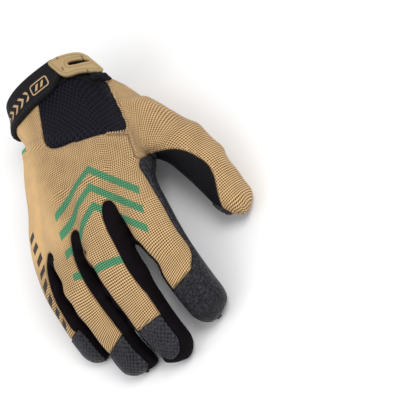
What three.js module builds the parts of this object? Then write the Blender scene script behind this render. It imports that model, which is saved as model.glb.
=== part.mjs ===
import * as THREE from "three";

// A right-hand work glove that lies palm down on its heel, fingertips and thumb.
// Fingers point along -Y, the thumb is on the +X side and the back of the hand faces +Z.

// Driving sizes in millimetres.
const palmLength = 90; // knuckles to the far edge of the cuff
const palmWidth = 97; // across the knuckles
const knuckleHeight = 57; // top of the knuckles above the surface
const webDepth = 24; // knuckles to the webs between the fingers
const fingerLength = 108; // knuckle to tip along the middle finger
const fingerWidth = 27; // across the middle finger
const thumbLength = 96; // root of the thumb to its tip
const thumbWidth = 27;
const capLength = 30; // leather cap on the index finger

const knitWall = 1.4;
const meshWall = 1.6;
const palmWall = 1.8;
const fourchetteWall = 1.2;
const leatherWall = 1.5;
const leatherProud = 0.5; // how far the leather stands above the knit
const cuffWall = 2.2;
const strapWall = 2.2;
const strapWidth = 17;
const strapOverhang = 1.5; // strap past the cuff's edge
const tabWall = 3;
const tabWidth = 15;
const slotWidth = 3.4;
const seamGap = 0.36; // between two sewn panels
const strapClearance = 0.6; // strap and tab over the cuff
const restAlong = 0.66; // share of palmLength from the knuckles to the middle of the heel
const restAcross = 0.05; // share of palmWidth

// Section shape and cage steps.
const power = 2.4; // exponent of the rounded sections
const corner = 0.82; // share of a section's half width where the back turns into the side
const topSteps = 4; // across the back of each finger
const sideSteps = 3; // down each side
const relaxRounds = 2;
const relaxShare = 0.5;
const bendLength = 18; // stretch of a finger over which a joint bends
const tipSpread = 0.3; // share of a digit's half width that its very end spans
const tipRound = 0.05;

// Palm sections from the cuff's edge to the webs. along: share of palmLength from the knuckles.
// slant: how far the little finger's side lies further back. middle, half: shares of palmWidth.
// top, bottom: shares of knuckleHeight. finger: how much the section follows the fingers' own.
const palmSections = [
  { along: 0.84, slant: 0.18, middle: 0.12, half: 0.375, top: 0.85, bottom: -0.04, finger: 0 },
  { along: 0.77, slant: 0.14, middle: 0.125, half: 0.375, top: 0.85, bottom: -0.04, finger: 0 },
  { along: 0.7, slant: 0.1, middle: 0.135, half: 0.38, top: 0.85, bottom: -0.04, finger: 0 },
  { along: 0.57, slant: 0.13, middle: 0.155, half: 0.385, top: 0.86, bottom: -0.04, finger: 0 },
  { along: 0.45, slant: 0.17, middle: 0.165, half: 0.39, top: 0.88, bottom: -0.03, finger: 0 },
  { along: 0.33, slant: 0.22, middle: 0.165, half: 0.405, top: 0.91, bottom: 0.03, finger: 0 },
  { along: 0.2, slant: 0.27, middle: 0.145, half: 0.43, top: 0.94, bottom: 0.12, finger: 0 },
  { along: 0.01, slant: 0.16, middle: 0.125, half: 0.47, top: 0.98, bottom: 0.26, finger: 0.3 },
  { along: -0.07, slant: 0.05, middle: 0.09, half: 0.46, top: 0.99, bottom: 0.34, finger: 0.6 },
  { along: -0.165, slant: 0, middle: 0.055, half: 0.47, top: 0.97, bottom: 0.4, finger: 0.85 },
  { along: -0.26, slant: 0, middle: 0.033, half: 0.49, top: 0.93, bottom: 0.42, finger: 1 },
];
const slantSpans = { cuff: 0.21, hand: 0.64 }; // share of the width over which the slant builds up
const cuffRows = 2;
const thumbRows = [3, 7]; // the thumb leaves the hand's side between these sections
const meshRows = [2, 6];
const meshFrom = 8; // columns over the back before the mesh starts
const webRow = palmSections.length - 1;

// Fingers from the little finger to the index finger. across: share of palmWidth.
// back, height: shares of palmLength and knuckleHeight at the knuckle. bones: shares of fingerLength.
// pitch: fall of each bone in degrees. width: share of fingerWidth. depth: share of the finger's width.
// splay turns the finger towards the thumb and roll its back. cap: share of capLength.
// seam: how far the cap's seam runs back towards the thumb side, a share of fingerWidth.
const fingers = [
  {
    name: "pinky", across: -0.352, back: 0.1, height: 0.62, bones: [0.362, 0.22, 0.212],
    pitch: [9, 32.5, 42], width: 0.67, depth: 0.86, splay: -5.5, roll: -23, cap: 0.73, seam: 0.1,
  },
  {
    name: "ring", across: -0.158, back: -0.002, height: 0.755, bones: [0.432, 0.274, 0.222],
    pitch: [10.5, 32.5, 44.5], width: 0.82, depth: 0.84, splay: -2, roll: -10, cap: 0.83, seam: 0.22,
  },
  {
    name: "middle", across: 0.104, back: -0.011, height: 0.79, bones: [0.472, 0.286, 0.24],
    pitch: [11, 30.5, 41], width: 0.95, depth: 0.83, splay: -1, roll: -8, cap: 0.9, seam: 0.11,
  },
  {
    name: "index", across: 0.374, back: 0.02, height: 0.728, bones: [0.442, 0.257, 0.214],
    pitch: [11.5, 26, 41.5], width: 0.92, depth: 0.88, splay: 1.5, roll: 5, cap: 1, seam: 0.15,
  },
];
const taper = 0.12; // how much narrower a finger is at its tip
const shaftRows = 5; // from the web to the cap
const capRows = [0.34, 0.62, 0.82, 0.94]; // shares of the cap's length

// Thumb: root as shares of palmWidth, palmLength and knuckleHeight; bones as shares of thumbLength.
const thumb = {
  across: 0.474, back: 0.444, height: 0.44, bones: [0.4, 0.3, 0.265],
  pitch: [3, 13, 22], turn: [33, 18, 12], width: 1, depth: 0.84, roll: 12, twist: 55,
};
const rootSwell = 0.5; // how much wider the thumb is where it leaves the hand
const swellLength = 0.5; // share of thumbLength over which that fades
const twistLength = 0.6; // share of thumbLength over which the thumb's back turns outwards
// Sections of the thumb: place along its length, and how far each has left the hole in the hand.
const thumbSections = [
  { place: 0.14, free: 0.35 },
  { place: 0.27, free: 0.75 },
  { place: 0.4, free: 1 },
  { place: 0.49, free: 1 },
  { place: 0.58, free: 1 },
  { place: 0.67, free: 1 },
  { place: 0.76, free: 1 },
  { place: 0.85, free: 1 },
  { place: 0.92, free: 1 },
  { place: 0.97, free: 1 },
];
const tipWrap = 0.82; // place on the thumb past which the back's knit covers the web side

// Strap and pull tab along the cuff, in columns of the cage counted over the back of the hand.
const strapColumns = { start: -3, endFar: 12.7, endNear: 14 };
// The tab past its seam on the strap: width as a share of tabWidth, slot where the slot runs on.
const tabStations = [
  { column: 14.8, width: 1, slot: true },
  { column: 15.5, width: 1, slot: true },
  { column: 16.3, width: 1, slot: true },
  { column: 17, width: 0.95, slot: false },
  { column: 18.1, width: 0.8, slot: false },
  { column: 18.8, width: 0.5, slot: false },
];

const colours = {
  tan: { color: 0xc9a678, roughness: 0.9, metalness: 0 },
  black: { color: 0x17181d, roughness: 0.85, metalness: 0 },
  mesh: { color: 0x0f1016, roughness: 0.8, metalness: 0 },
  leather: { color: 0x34363b, roughness: 0.55, metalness: 0 },
  rubber: { color: 0xb79356, roughness: 0.6, metalness: 0 },
};

const radians = THREE.MathUtils.degToRad;
const mix = THREE.MathUtils.lerp;
const smooth = (x) => THREE.MathUtils.smoothstep(x, 0, 1);
const crown = (share) => (1 - Math.min(1, Math.abs(share)) ** power) ** (1 / power);
const range = (count) => Array.from({ length: count }, (_, i) => i);

const points = []; // the glove's outer surface
const faces = []; // four points each, with the panel that they belong to
const loose = new Set(); // points that the relaxing may move

function addPoint(position) {
  points.push(position);
  return points.length - 1;
}

// Points round a section in a box from -1 to 1: over the back towards the thumb, down that side,
// back under the palm and up the other side. shares places the points across the back.
function unitRing(shares) {
  const over = shares.map((share) => corner * (2 * share - 1));
  const edge = crown(corner);
  const flank = range(sideSteps - 1).map((k) => edge * (1 - (2 * (k + 1)) / sideSteps));
  return [
    ...over.map((u) => [u, crown(u)]),
    ...flank.map((v) => [crown(v), v]),
    ...over.toReversed().map((u) => [u, -crown(u)]),
    ...flank.toReversed().map((v) => [-crown(v), v]),
  ];
}

const fingerRing = unitRing(range(topSteps + 1).map((i) => i / topSteps));

// Centre and axes of a digit at a distance from its root.
function frameAt(digit, distance) {
  const steps = Math.max(1, Math.ceil(Math.abs(distance)));
  const centre = digit.root.clone();
  for (const i of range(steps)) {
    centre.addScaledVector(axisAt(digit, ((i + 0.5) * distance) / steps), distance / steps);
  }
  const axis = axisAt(digit, distance);
  const level = new THREE.Vector3(-axis.y, axis.x, 0).normalize();
  const raised = new THREE.Vector3().crossVectors(axis, level);
  const twisted = digit.twist * smooth(distance / digit.length / twistLength);
  const lean = radians(digit.roll + twisted);
  const side = level.clone().multiplyScalar(Math.cos(lean)).addScaledVector(raised, -Math.sin(lean));
  const up = raised.clone().multiplyScalar(Math.cos(lean)).addScaledVector(level, Math.sin(lean));
  return { centre, side, up, axis };
}

function axisAt(digit, distance) {
  let pitch = digit.pitch[0];
  let turn = digit.turn[0];
  let joint = 0;
  for (const k of range(digit.bones.length - 1)) {
    joint += digit.bones[k];
    const bent = smooth((distance - joint) / bendLength + 0.5);
    pitch += bent * (digit.pitch[k + 1] - digit.pitch[k]);
    turn += bent * (digit.turn[k + 1] - digit.turn[k]);
  }
  const [fall, yaw] = [radians(pitch), radians(turn)];
  return new THREE.Vector3(
    Math.sin(yaw) * Math.cos(fall),
    -Math.cos(yaw) * Math.cos(fall),
    -Math.sin(fall),
  );
}

// A digit with its lengths in millimetres.
function makeDigit(row, length, width) {
  const bones = row.bones.map((share) => share * length);
  return {
    swell: 0,
    twist: 0,
    ...row,
    bones,
    root: new THREE.Vector3(
      row.across * palmWidth,
      row.back * palmLength,
      row.height * knuckleHeight,
    ),
    turn: row.turn ?? bones.map(() => row.splay),
    length: bones.reduce((sum, bone) => sum + bone, 0),
    half: (row.width * width) / 2,
  };
}

const digits = fingers.map((row) => makeDigit(row, fingerLength, fingerWidth));
const thumbDigit = makeDigit({ ...thumb, swell: rootSwell }, thumbLength, thumbWidth);

// A point of a digit's section, in shares of its half width and half depth. The last stretch
// closes as a dome as deep as the digit is thick.
function digitPoint(digit, distance, [u, v]) {
  const { centre, side, up } = frameAt(digit, distance);
  const narrowing = 1 - taper * Math.max(0, distance / digit.length);
  const dome = digit.half * narrowing;
  const past = Math.max(0, (distance - (digit.length - dome)) / dome);
  const girth = narrowing * Math.sqrt(Math.max(0, 1 - past * past));
  const swollen = 1 + digit.swell * (1 - smooth(distance / digit.length / swellLength));
  return centre
    .addScaledVector(side, u * digit.half * girth * swollen)
    .addScaledVector(up, v * digit.half * digit.depth * girth);
}

// Places across the back at the knuckles: the edges of each finger's back, in order.
function backShares() {
  const first = digits[0];
  const last = digits.at(-1);
  const start = first.root.x - corner * first.half;
  const span = last.root.x + corner * last.half - start;
  return digits.flatMap((digit) =>
    range(topSteps + 1).map((i) => {
      const across = digit.root.x + corner * digit.half * ((2 * i) / topSteps - 1);
      return (across - start) / span;
    }),
  );
}

const shares = backShares();
const palmRing = unitRing(shares);
const columns = palmRing.length;
const backColumns = shares.length;
const palmStart = backColumns + sideSteps - 1;
const thumbEdge = backColumns - 1;

// Which finger a column of the palm belongs to, and which point of that finger's ring.
function fingerOf(column) {
  const perFinger = topSteps + 1;
  if (column < backColumns) return [Math.floor(column / perFinger), column % perFinger];
  if (column < palmStart) return [digits.length - 1, perFinger + column - backColumns];
  if (column < palmStart + backColumns) {
    const under = column - palmStart;
    const order = digits.length - 1 - Math.floor(under / perFinger);
    return [order, perFinger + sideSteps - 1 + (under % perFinger)];
  }
  return [0, fingerRing.length - (columns - column)];
}

// How far back the knuckles lie at a share of the way from the little finger to the index finger.
function knuckleBack(share) {
  const along = digits.map((digit) => [shareOf(digit.root.x), digit.root.y]);
  const next = along.findIndex(([place]) => place > share);
  if (next === 0) return along[0][1];
  if (next < 0) return along.at(-1)[1];
  const [from, to] = [along[next - 1], along[next]];
  return mix(from[1], to[1], smooth((share - from[0]) / (to[0] - from[0])));
}

function shareOf(across) {
  const first = digits[0].root.x - corner * digits[0].half;
  const last = digits.at(-1).root.x + corner * digits.at(-1).half;
  return (across - first) / (last - first);
}

function palmPoint(section, row, column) {
  const [u, v] = palmRing[column];
  const top = section.top * knuckleHeight;
  const bottom = section.bottom * knuckleHeight;
  const share = (u / corner + 1) / 2;
  const knuckled = smooth(row / webRow) * knuckleBack(share);
  const span = mix(slantSpans.cuff, slantSpans.hand, Math.min(1, row / meshRows[1]));
  const slanted = section.slant * palmLength * Math.min(1, (1 - share) / span);
  const own = new THREE.Vector3(
    section.middle * palmWidth + section.half * palmWidth * u,
    section.along * palmLength + slanted + knuckled,
    mix(bottom, top, (v + 1) / 2),
  );
  if (!section.finger) return own;
  const [order, place] = fingerOf(column);
  const reach = (section.along / palmSections[webRow].along) * webDepth;
  return own.lerp(digitPoint(digits[order], reach, fingerRing[place]), section.finger);
}

const palmRows = palmSections.map((section, row) =>
  range(columns).map((column) => addPoint(palmPoint(section, row, column))),
);

// Joins two rings of the same length with a band of faces.
function addBand(near, far, panelOf) {
  for (const i of near.keys()) {
    const next = (i + 1) % near.length;
    const panel = panelOf(i);
    if (panel) faces.push({ corners: [near[i], far[i], far[next], near[next]], panel });
  }
}

// Closes a digit with a grid between the two sides of its last ring.
function addTip(digit, ring, panelOf) {
  const grid = [ring.slice(0, topSteps + 1)];
  for (const k of range(sideSteps - 1)) {
    const v = tipSpread * (1 - (2 * (k + 1)) / sideSteps);
    const inner = range(topSteps - 1).map((i) =>
      addPoint(endPoint(digit, ((i + 1) * 2) / topSteps - 1, v)),
    );
    grid.push([ring[ring.length - 1 - k], ...inner, ring[topSteps + 1 + k]]);
  }
  grid.push(ring.slice(topSteps + sideSteps, topSteps + sideSteps + topSteps + 1).toReversed());
  for (const k of range(sideSteps)) {
    for (const i of range(topSteps)) {
      const corners = [grid[k][i], grid[k + 1][i], grid[k + 1][i + 1], grid[k][i + 1]];
      faces.push({ corners, panel: panelOf(k) });
    }
  }
}

// A point across the very end of a digit, a little rounded back towards its sides.
function endPoint(digit, u, v) {
  const { centre, side, up, axis } = frameAt(digit, digit.length);
  const size = digit.half * tipSpread;
  return centre
    .addScaledVector(side, u * size)
    .addScaledVector(up, v * size)
    .addScaledVector(axis, -tipRound * size * Math.abs(u));
}

// Parts of a digit's ring by step: back, thumb side, palm side, little finger's side.
function partOf(step) {
  if (step < topSteps) return "back";
  if (step < topSteps + sideSteps) return "thumbSide";
  if (step < 2 * topSteps + sideSteps) return "palm";
  return "littleSide";
}

const webNames = ["fourchette_ring_pinky", "fourchette_middle_ring", "fourchette_index_middle"];
const indexOrder = fingers.length - 1;
const capNames = fingers.map(({ name }, order) => (order === indexOrder ? "index_guard" : name + "_cap"));

// The panel of a finger's face: order counts from the little finger, capped past the cap's seam.
function fingerPanel(order, step, capped) {
  const part = partOf(step);
  if (part === "palm") return "palm_panel";
  if (part === "thumbSide") return order === indexOrder ? capNames[order] : webNames[order];
  if (part === "littleSide" && order > 0) return webNames[order - 1];
  return capped ? capNames[order] : "back_panel";
}

// The panel at a finger's very end, from its back to its palm side.
function tipPanel(order, row) {
  if (row === sideSteps - 1) return "palm_panel";
  return row === 0 || order === indexOrder ? capNames[order] : webNames[order];
}

function addFinger(order) {
  const digit = digits[order];
  const web = palmRows[webRow];
  const backFrom = order * (topSteps + 1);
  const palmFrom = palmStart + (indexOrder - order) * (topSteps + 1);
  const own = (place) => {
    const made = addPoint(digitPoint(digit, webDepth, fingerRing[place]));
    loose.add(made);
    return made;
  };
  const thumbSide = range(sideSteps - 1).map((k) =>
    order === indexOrder ? web[backColumns + k] : own(topSteps + 1 + k),
  );
  const littleSide = range(sideSteps - 1).map((k) =>
    order === 0 ? web[columns - sideSteps + 1 + k] : own(fingerRing.length - sideSteps + 1 + k),
  );
  let ring = [
    ...web.slice(backFrom, backFrom + topSteps + 1),
    ...thumbSide,
    ...web.slice(palmFrom, palmFrom + topSteps + 1),
    ...littleSide,
  ];
  const first = ring;
  const capSpan = digit.cap * capLength;
  const seam = digit.length - capSpan;
  const places = [
    ...range(shaftRows).map((i) => mix(webDepth, seam, (i + 1) / shaftRows)),
    ...capRows.map((share) => seam + share * capSpan),
  ];
  places.forEach((place, i) => {
    const nearSeam = Math.max(0, 1 - Math.abs(place - seam) / capSpan);
    const next = fingerRing.map(([u, v]) => {
      const slanted = place - u * digit.seam * fingerWidth * nearSeam;
      return addPoint(digitPoint(digit, slanted, [u, v]));
    });
    addBand(ring, next, (step) => fingerPanel(order, step, i >= shaftRows));
    ring = next;
  });
  addTip(digit, ring, (row) => tipPanel(order, row));
  return first;
}

const roots = digits.map((_, order) => addFinger(order));

// The web between two neighbouring fingers.
for (const order of range(digits.length - 1)) {
  const [little, near] = [roots[order], roots[order + 1]];
  const left = little.slice(topSteps, topSteps + sideSteps + 1);
  const right = [near[0], ...near.slice(1 - sideSteps).toReversed(), near[2 * topSteps + sideSteps]];
  for (const k of range(sideSteps)) {
    faces.push({ corners: [left[k], left[k + 1], right[k + 1], right[k]], panel: webNames[order] });
  }
}

// The panel of a face on the hand itself; none where the thumb leaves it.
function handPanel(row, step) {
  if (row < cuffRows) return "cuff_band";
  if (step >= thumbEdge && step < thumbEdge + sideSteps) {
    if (row >= thumbRows[0] && row < thumbRows[1]) return null;
    return row < thumbRows[0] ? "thumb_back" : "index_guard";
  }
  if (step >= palmStart && step < columns - sideSteps) return "palm_panel";
  if (step > thumbEdge) return "back_panel";
  if (step >= meshFrom && row >= meshRows[0] && row < meshRows[1]) return "wrist_mesh";
  const between = step % (topSteps + 1) === topSteps;
  return between && row === webRow - 1 ? webNames[Math.floor(step / (topSteps + 1))] : "back_panel";
}

for (const row of range(webRow)) {
  addBand(palmRows[row], palmRows[row + 1], (step) => handPanel(row, step));
}

// Points round the hole in the hand's side, in the order of a digit's ring.
function thumbHole() {
  const [from, to] = thumbRows;
  const rows = range(to - from + 1).map((i) => to - i);
  const flank = range(sideSteps - 1).map((k) => backColumns + k);
  return [
    ...rows.map((row) => palmRows[row][thumbEdge]),
    ...flank.map((column) => palmRows[from][column]),
    ...rows.toReversed().map((row) => palmRows[row][palmStart]),
    ...flank.toReversed().map((column) => palmRows[to][column]),
  ];
}

function addThumb() {
  const hole = thumbHole();
  let ring = hole;
  for (const { place, free: share } of thumbSections) {
    const next = fingerRing.map((spot, i) => {
      const target = digitPoint(thumbDigit, place * thumbDigit.length, spot);
      const made = addPoint(points[hole[i]].clone().lerp(target, share));
      if (share < 1) loose.add(made);
      return made;
    });
    addBand(ring, next, (step) => thumbPanel(step, place));
    ring = next;
  }
  addTip(thumbDigit, ring, (row) => (row < sideSteps - 1 ? "thumb_back" : "thumb_inner"));
}

// The thumb's knit back wraps over its web side at the tip.
function thumbPanel(step, place) {
  const part = partOf(step);
  const wraps = part === "littleSide" && place > tipWrap;
  return part === "back" || part === "thumbSide" || wraps ? "thumb_back" : "thumb_inner";
}

addThumb();

// The rim of the thumb's hole is evened out with the thumb's root, apart from its edge on the back.
for (const point of thumbHole().slice(thumbRows[1] - thumbRows[0] + 1)) loose.add(point);

function neighbours() {
  const found = points.map(() => new Set());
  for (const { corners } of faces) {
    corners.forEach((point, i) => {
      found[point].add(corners[(i + 1) % corners.length]);
      found[point].add(corners[(i + corners.length - 1) % corners.length]);
    });
  }
  return found;
}

function relax() {
  const around = neighbours();
  for (const _ of range(relaxRounds)) {
    const moved = [...loose].map((point) => {
      const middle = new THREE.Vector3();
      for (const other of around[point]) middle.add(points[other]);
      middle.divideScalar(around[point].size);
      return [point, points[point].clone().lerp(middle, relaxShare)];
    });
    for (const [point, position] of moved) points[point].copy(position);
  }
}

relax();
for (const point of points) point.z = Math.max(0, point.z);

function normalsOf(places, quads) {
  const normals = places.map(() => new THREE.Vector3());
  for (const { corners } of quads) {
    const [a, b, c, d] = corners.map((point) => places[point]);
    const across = new THREE.Vector3().subVectors(c, a);
    const normal = new THREE.Vector3().subVectors(d, b).cross(across).negate();
    for (const point of corners) normals[point].add(normal);
  }
  return normals.map((normal) => normal.normalize());
}

// Turns a sheet of four-cornered faces into one closed body: an outer skin a little proud of the
// sheet, an inner skin one wall further in, and a rim between them. Its edges draw back from the
// neighbouring panel by half the seam's gap.
function thicken(places, normals, quads, { proud = 0, wall }) {
  const used = [...new Set(quads.flatMap(({ corners }) => corners))];
  const local = new Map(used.map((point, i) => [point, i]));
  const edges = boundaryOf(quads);
  const shifts = new Map(used.map((point) => [point, []]));
  for (const [from, to] of edges) {
    for (const point of [from, to]) {
      const along = new THREE.Vector3().subVectors(places[to], places[from]);
      shifts.get(point).push(new THREE.Vector3().crossVectors(normals[point], along).normalize());
    }
  }
  const skin = (depth) =>
    used.map((point) => {
      const place = places[point].clone().addScaledVector(normals[point], -depth);
      const [first, second] = shifts.get(point);
      if (first) {
        const both = first.clone().add(second);
        place.addScaledVector(both, seamGap / both.lengthSq());
      }
      return place;
    });
  const outer = skin(-proud);
  const inner = skin(wall - proud);
  for (const place of outer) place.z = Math.max(0, place.z);
  const index = [];
  const count = used.length;
  for (const { corners } of quads) {
    const [a, b, c, d] = corners.map((point) => local.get(point));
    const short = outer[a].distanceTo(outer[c]) < outer[b].distanceTo(outer[d]);
    const halves = short ? [[a, b, c], [a, c, d]] : [[b, c, d], [b, d, a]];
    for (const [p, q, r] of halves) {
      index.push(p, q, r, p + count, r + count, q + count);
    }
  }
  for (const [from, to] of edges) {
    const [p, q] = [local.get(from), local.get(to)];
    index.push(q, p, p + count, q, p + count, q + count);
  }
  const geometry = new THREE.BufferGeometry();
  const flat = [...outer, ...inner].flatMap((place) => place.toArray());
  geometry.setAttribute("position", new THREE.Float32BufferAttribute(flat, 3));
  geometry.setIndex(index);
  geometry.computeVertexNormals();
  return geometry;
}

// Directed edges that only one face has.
function boundaryOf(quads) {
  const seen = new Map();
  for (const { corners } of quads) {
    corners.forEach((from, i) => {
      const to = corners[(i + 1) % corners.length];
      seen.set(from + ":" + to, [from, to]);
    });
  }
  return [...seen.values()].filter(([from, to]) => !seen.has(to + ":" + from));
}

const normals = normalsOf(points, faces);
const group = new THREE.Group();

function addMesh(name, geometry, finish) {
  const mesh = new THREE.Mesh(geometry, new THREE.MeshStandardMaterial(colours[finish]));
  mesh.name = name;
  group.add(mesh);
}

const panels = [
  { name: "back_panel", wall: knitWall, finish: "tan" },
  { name: "wrist_mesh", wall: meshWall, finish: "mesh" },
  { name: "thumb_back", wall: knitWall, finish: "tan" },
  { name: "thumb_inner", wall: palmWall, finish: "black" },
  { name: "palm_panel", wall: palmWall, finish: "black" },
  { name: "fourchette_index_middle", wall: fourchetteWall, finish: "black" },
  { name: "fourchette_middle_ring", wall: fourchetteWall, finish: "black" },
  { name: "fourchette_ring_pinky", wall: fourchetteWall, finish: "black" },
  { name: "index_guard", wall: leatherWall, proud: leatherProud, finish: "leather" },
  { name: "middle_cap", wall: leatherWall, proud: leatherProud, finish: "leather" },
  { name: "ring_cap", wall: leatherWall, proud: leatherProud, finish: "leather" },
  { name: "pinky_cap", wall: leatherWall, proud: leatherProud, finish: "leather" },
  { name: "cuff_band", wall: cuffWall, finish: "black" },
];
for (const { name, finish, ...layer } of panels) {
  const quads = faces.filter(({ panel }) => panel === name);
  addMesh(name, thicken(points, normals, quads, layer), finish);
}

// A place on the cuff by column, counted over the back, and by distance from the cuff's edge.
function onCuff(column, inset) {
  const wrapped = (column + columns) % columns;
  const [from, share] = [Math.floor(wrapped), wrapped % 1];
  const to = (from + 1) % columns;
  const [edge, inside] = [palmRows[0], palmRows[cuffRows]];
  const sideOf = (row) => points[row[from]].clone().lerp(points[row[to]], share);
  const normalAt = (row) => normals[row[from]].clone().lerp(normals[row[to]], share);
  const [outer, inner] = [sideOf(edge), sideOf(inside)];
  const along = outer.y - inset;
  const depth = inset / (outer.y - inner.y);
  return {
    place: outer.lerp(inner, depth).setY(along),
    normal: normalAt(edge).lerp(normalAt(inside), depth).setY(0).normalize(),
  };
}

// A sheet over the cuff from a grid of columns and distances; keep drops faces for a slot.
function overCuff(grid, keep = () => true) {
  const spots = grid.flat().map(([column, along]) => onCuff(column, along));
  const wide = grid[0].length;
  const quads = [];
  for (const i of range(grid.length - 1)) {
    for (const k of range(wide - 1)) {
      const at = (a, b) => (i + a) * wide + k + b;
      if (keep(i, k)) quads.push({ corners: [at(0, 0), at(0, 1), at(1, 1), at(1, 0)] });
    }
  }
  return { places: spots.map(({ place }) => place), normals: spots.map(({ normal }) => normal), quads };
}

const overCuffLayer = (wall) => ({ wall, proud: strapClearance + wall });

function addStrap() {
  const { start, endFar, endNear } = strapColumns;
  const whole = Math.ceil(endFar) - start;
  const grid = range(whole + 1).map((i) =>
    range(3).map((k) => {
      const column = i < whole ? start + i : mix(endFar, endNear, k / 2);
      return [column, (k / 2) * strapWidth - strapOverhang];
    }),
  );
  const { places, normals: facing, quads } = overCuff(grid);
  addMesh("wrist_strap", thicken(places, facing, quads, overCuffLayer(strapWall)), "black");
}

function addTab() {
  const { endFar, endNear } = strapColumns;
  const middle = strapWidth / 2 - strapOverhang;
  const across = [-tabWidth / 2, -slotWidth / 2, slotWidth / 2, tabWidth / 2];
  const seam = across.map((offset) => {
    const inset = middle + offset;
    return [mix(endFar, endNear, (inset + strapOverhang) / strapWidth), inset];
  });
  const rest = tabStations.map(({ column, width }) =>
    across.map((offset) => [column, middle + offset * width]),
  );
  const inSlot = (i, k) => k === 1 && i > 0 && tabStations[i - 1].slot;
  const { places, normals: facing, quads } = overCuff([seam, ...rest], (i, k) => !inSlot(i, k));
  addMesh("pull_tab", thicken(places, facing, quads, overCuffLayer(tabWall)), "rubber");
}

addStrap();
addTab();

// The origin is the middle of the flat under the heel of the palm.
group.position.set(-restAcross * palmWidth, -restAlong * palmLength, 0);

export default group;
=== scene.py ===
import math

import bpy
import numpy as np
from mathutils import Matrix, Vector, noise
from mathutils.bvhtree import BVHTree
from mathutils.kdtree import KDTree


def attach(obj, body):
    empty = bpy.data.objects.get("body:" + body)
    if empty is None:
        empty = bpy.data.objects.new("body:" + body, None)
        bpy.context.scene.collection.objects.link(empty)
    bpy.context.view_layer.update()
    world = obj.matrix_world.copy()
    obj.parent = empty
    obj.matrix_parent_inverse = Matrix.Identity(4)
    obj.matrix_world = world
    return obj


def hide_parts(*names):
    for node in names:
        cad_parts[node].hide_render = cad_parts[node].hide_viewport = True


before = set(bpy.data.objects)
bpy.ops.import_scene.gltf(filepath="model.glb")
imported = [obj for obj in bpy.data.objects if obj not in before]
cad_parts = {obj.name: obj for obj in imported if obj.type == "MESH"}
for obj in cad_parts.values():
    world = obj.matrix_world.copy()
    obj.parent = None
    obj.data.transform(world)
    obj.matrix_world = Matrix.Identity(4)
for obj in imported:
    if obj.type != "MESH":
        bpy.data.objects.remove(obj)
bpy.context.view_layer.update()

# The glove's cage: lengths in millimetres, table lengths as shares of named sizes.
PALM_LENGTH, PALM_WIDTH, KNUCKLE_HEIGHT, WEB_DEPTH = 90, 97, 57, 24
FINGER_LENGTH, FINGER_WIDTH, THUMB_LENGTH, THUMB_WIDTH, CAP_LENGTH = 108, 27, 96, 27, 30
STRAP_CLEARANCE = 0.6
POWER, CORNER, TOP, SIDE, BEND_LENGTH, TIP_SPREAD, TIP_ROUND = 2.4, 0.82, 4, 3, 18, 0.3, 0.05
ORIGIN = np.array([-0.05 * PALM_WIDTH, -0.66 * PALM_LENGTH, 0])

# along, slant, middle, half, top, bottom, finger
PALM_SECTIONS = [
    (0.84, 0.18, 0.12, 0.375, 0.85, -0.04, 0),
    (0.77, 0.14, 0.125, 0.375, 0.85, -0.04, 0),
    (0.7, 0.1, 0.135, 0.38, 0.85, -0.04, 0),
    (0.57, 0.13, 0.155, 0.385, 0.86, -0.04, 0),
    (0.45, 0.17, 0.165, 0.39, 0.88, -0.03, 0),
    (0.33, 0.22, 0.165, 0.405, 0.91, 0.03, 0),
    (0.2, 0.27, 0.145, 0.43, 0.94, 0.12, 0),
    (0.01, 0.16, 0.125, 0.47, 0.98, 0.26, 0.3),
    (-0.07, 0.05, 0.09, 0.46, 0.99, 0.34, 0.6),
    (-0.165, 0, 0.055, 0.47, 0.97, 0.4, 0.85),
    (-0.26, 0, 0.033, 0.49, 0.93, 0.42, 1),
]
SLANT_SPANS = (0.21, 0.64)
CUFF_ROWS, THUMB_ROWS, MESH_ROWS, MESH_FROM, WEB_ROW = 2, (3, 7), (2, 6), 8, 10
# across, back, height, bones, pitch, width, depth, splay, roll, cap, seam
FINGERS = [
    (-0.352, 0.1, 0.62, (0.362, 0.22, 0.212), (9, 32.5, 42), 0.67, 0.86, -5.5, -23, 0.73, 0.1),
    (-0.158, -0.002, 0.755, (0.432, 0.274, 0.222), (10.5, 32.5, 44.5), 0.82, 0.84, -2, -10, 0.83, 0.22),
    (0.104, -0.011, 0.79, (0.472, 0.286, 0.24), (11, 30.5, 41), 0.95, 0.83, -1, -8, 0.9, 0.11),
    (0.374, 0.02, 0.728, (0.442, 0.257, 0.214), (11.5, 26, 41.5), 0.92, 0.88, 1.5, 5, 1, 0.15),
]
TAPER, SHAFT_ROWS, CAP_ROWS = 0.12, 5, (0.34, 0.62, 0.82, 0.94)
THUMB = (0.474, 0.444, 0.44, (0.4, 0.3, 0.265), (3, 13, 22), (33, 18, 12), 1, 0.84, 12, 55)
ROOT_SWELL, SWELL_LENGTH, TWIST_LENGTH, TIP_WRAP = 0.5, 0.5, 0.6, 0.82
# place along the thumb, and how far the section has left the hole in the hand
THUMB_SECTIONS = [
    (0.14, 0.35), (0.27, 0.75), (0.4, 1), (0.49, 1), (0.58, 1), (0.67, 1), (0.76, 1), (0.85, 1),
    (0.92, 1), (0.97, 1),
]

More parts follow.
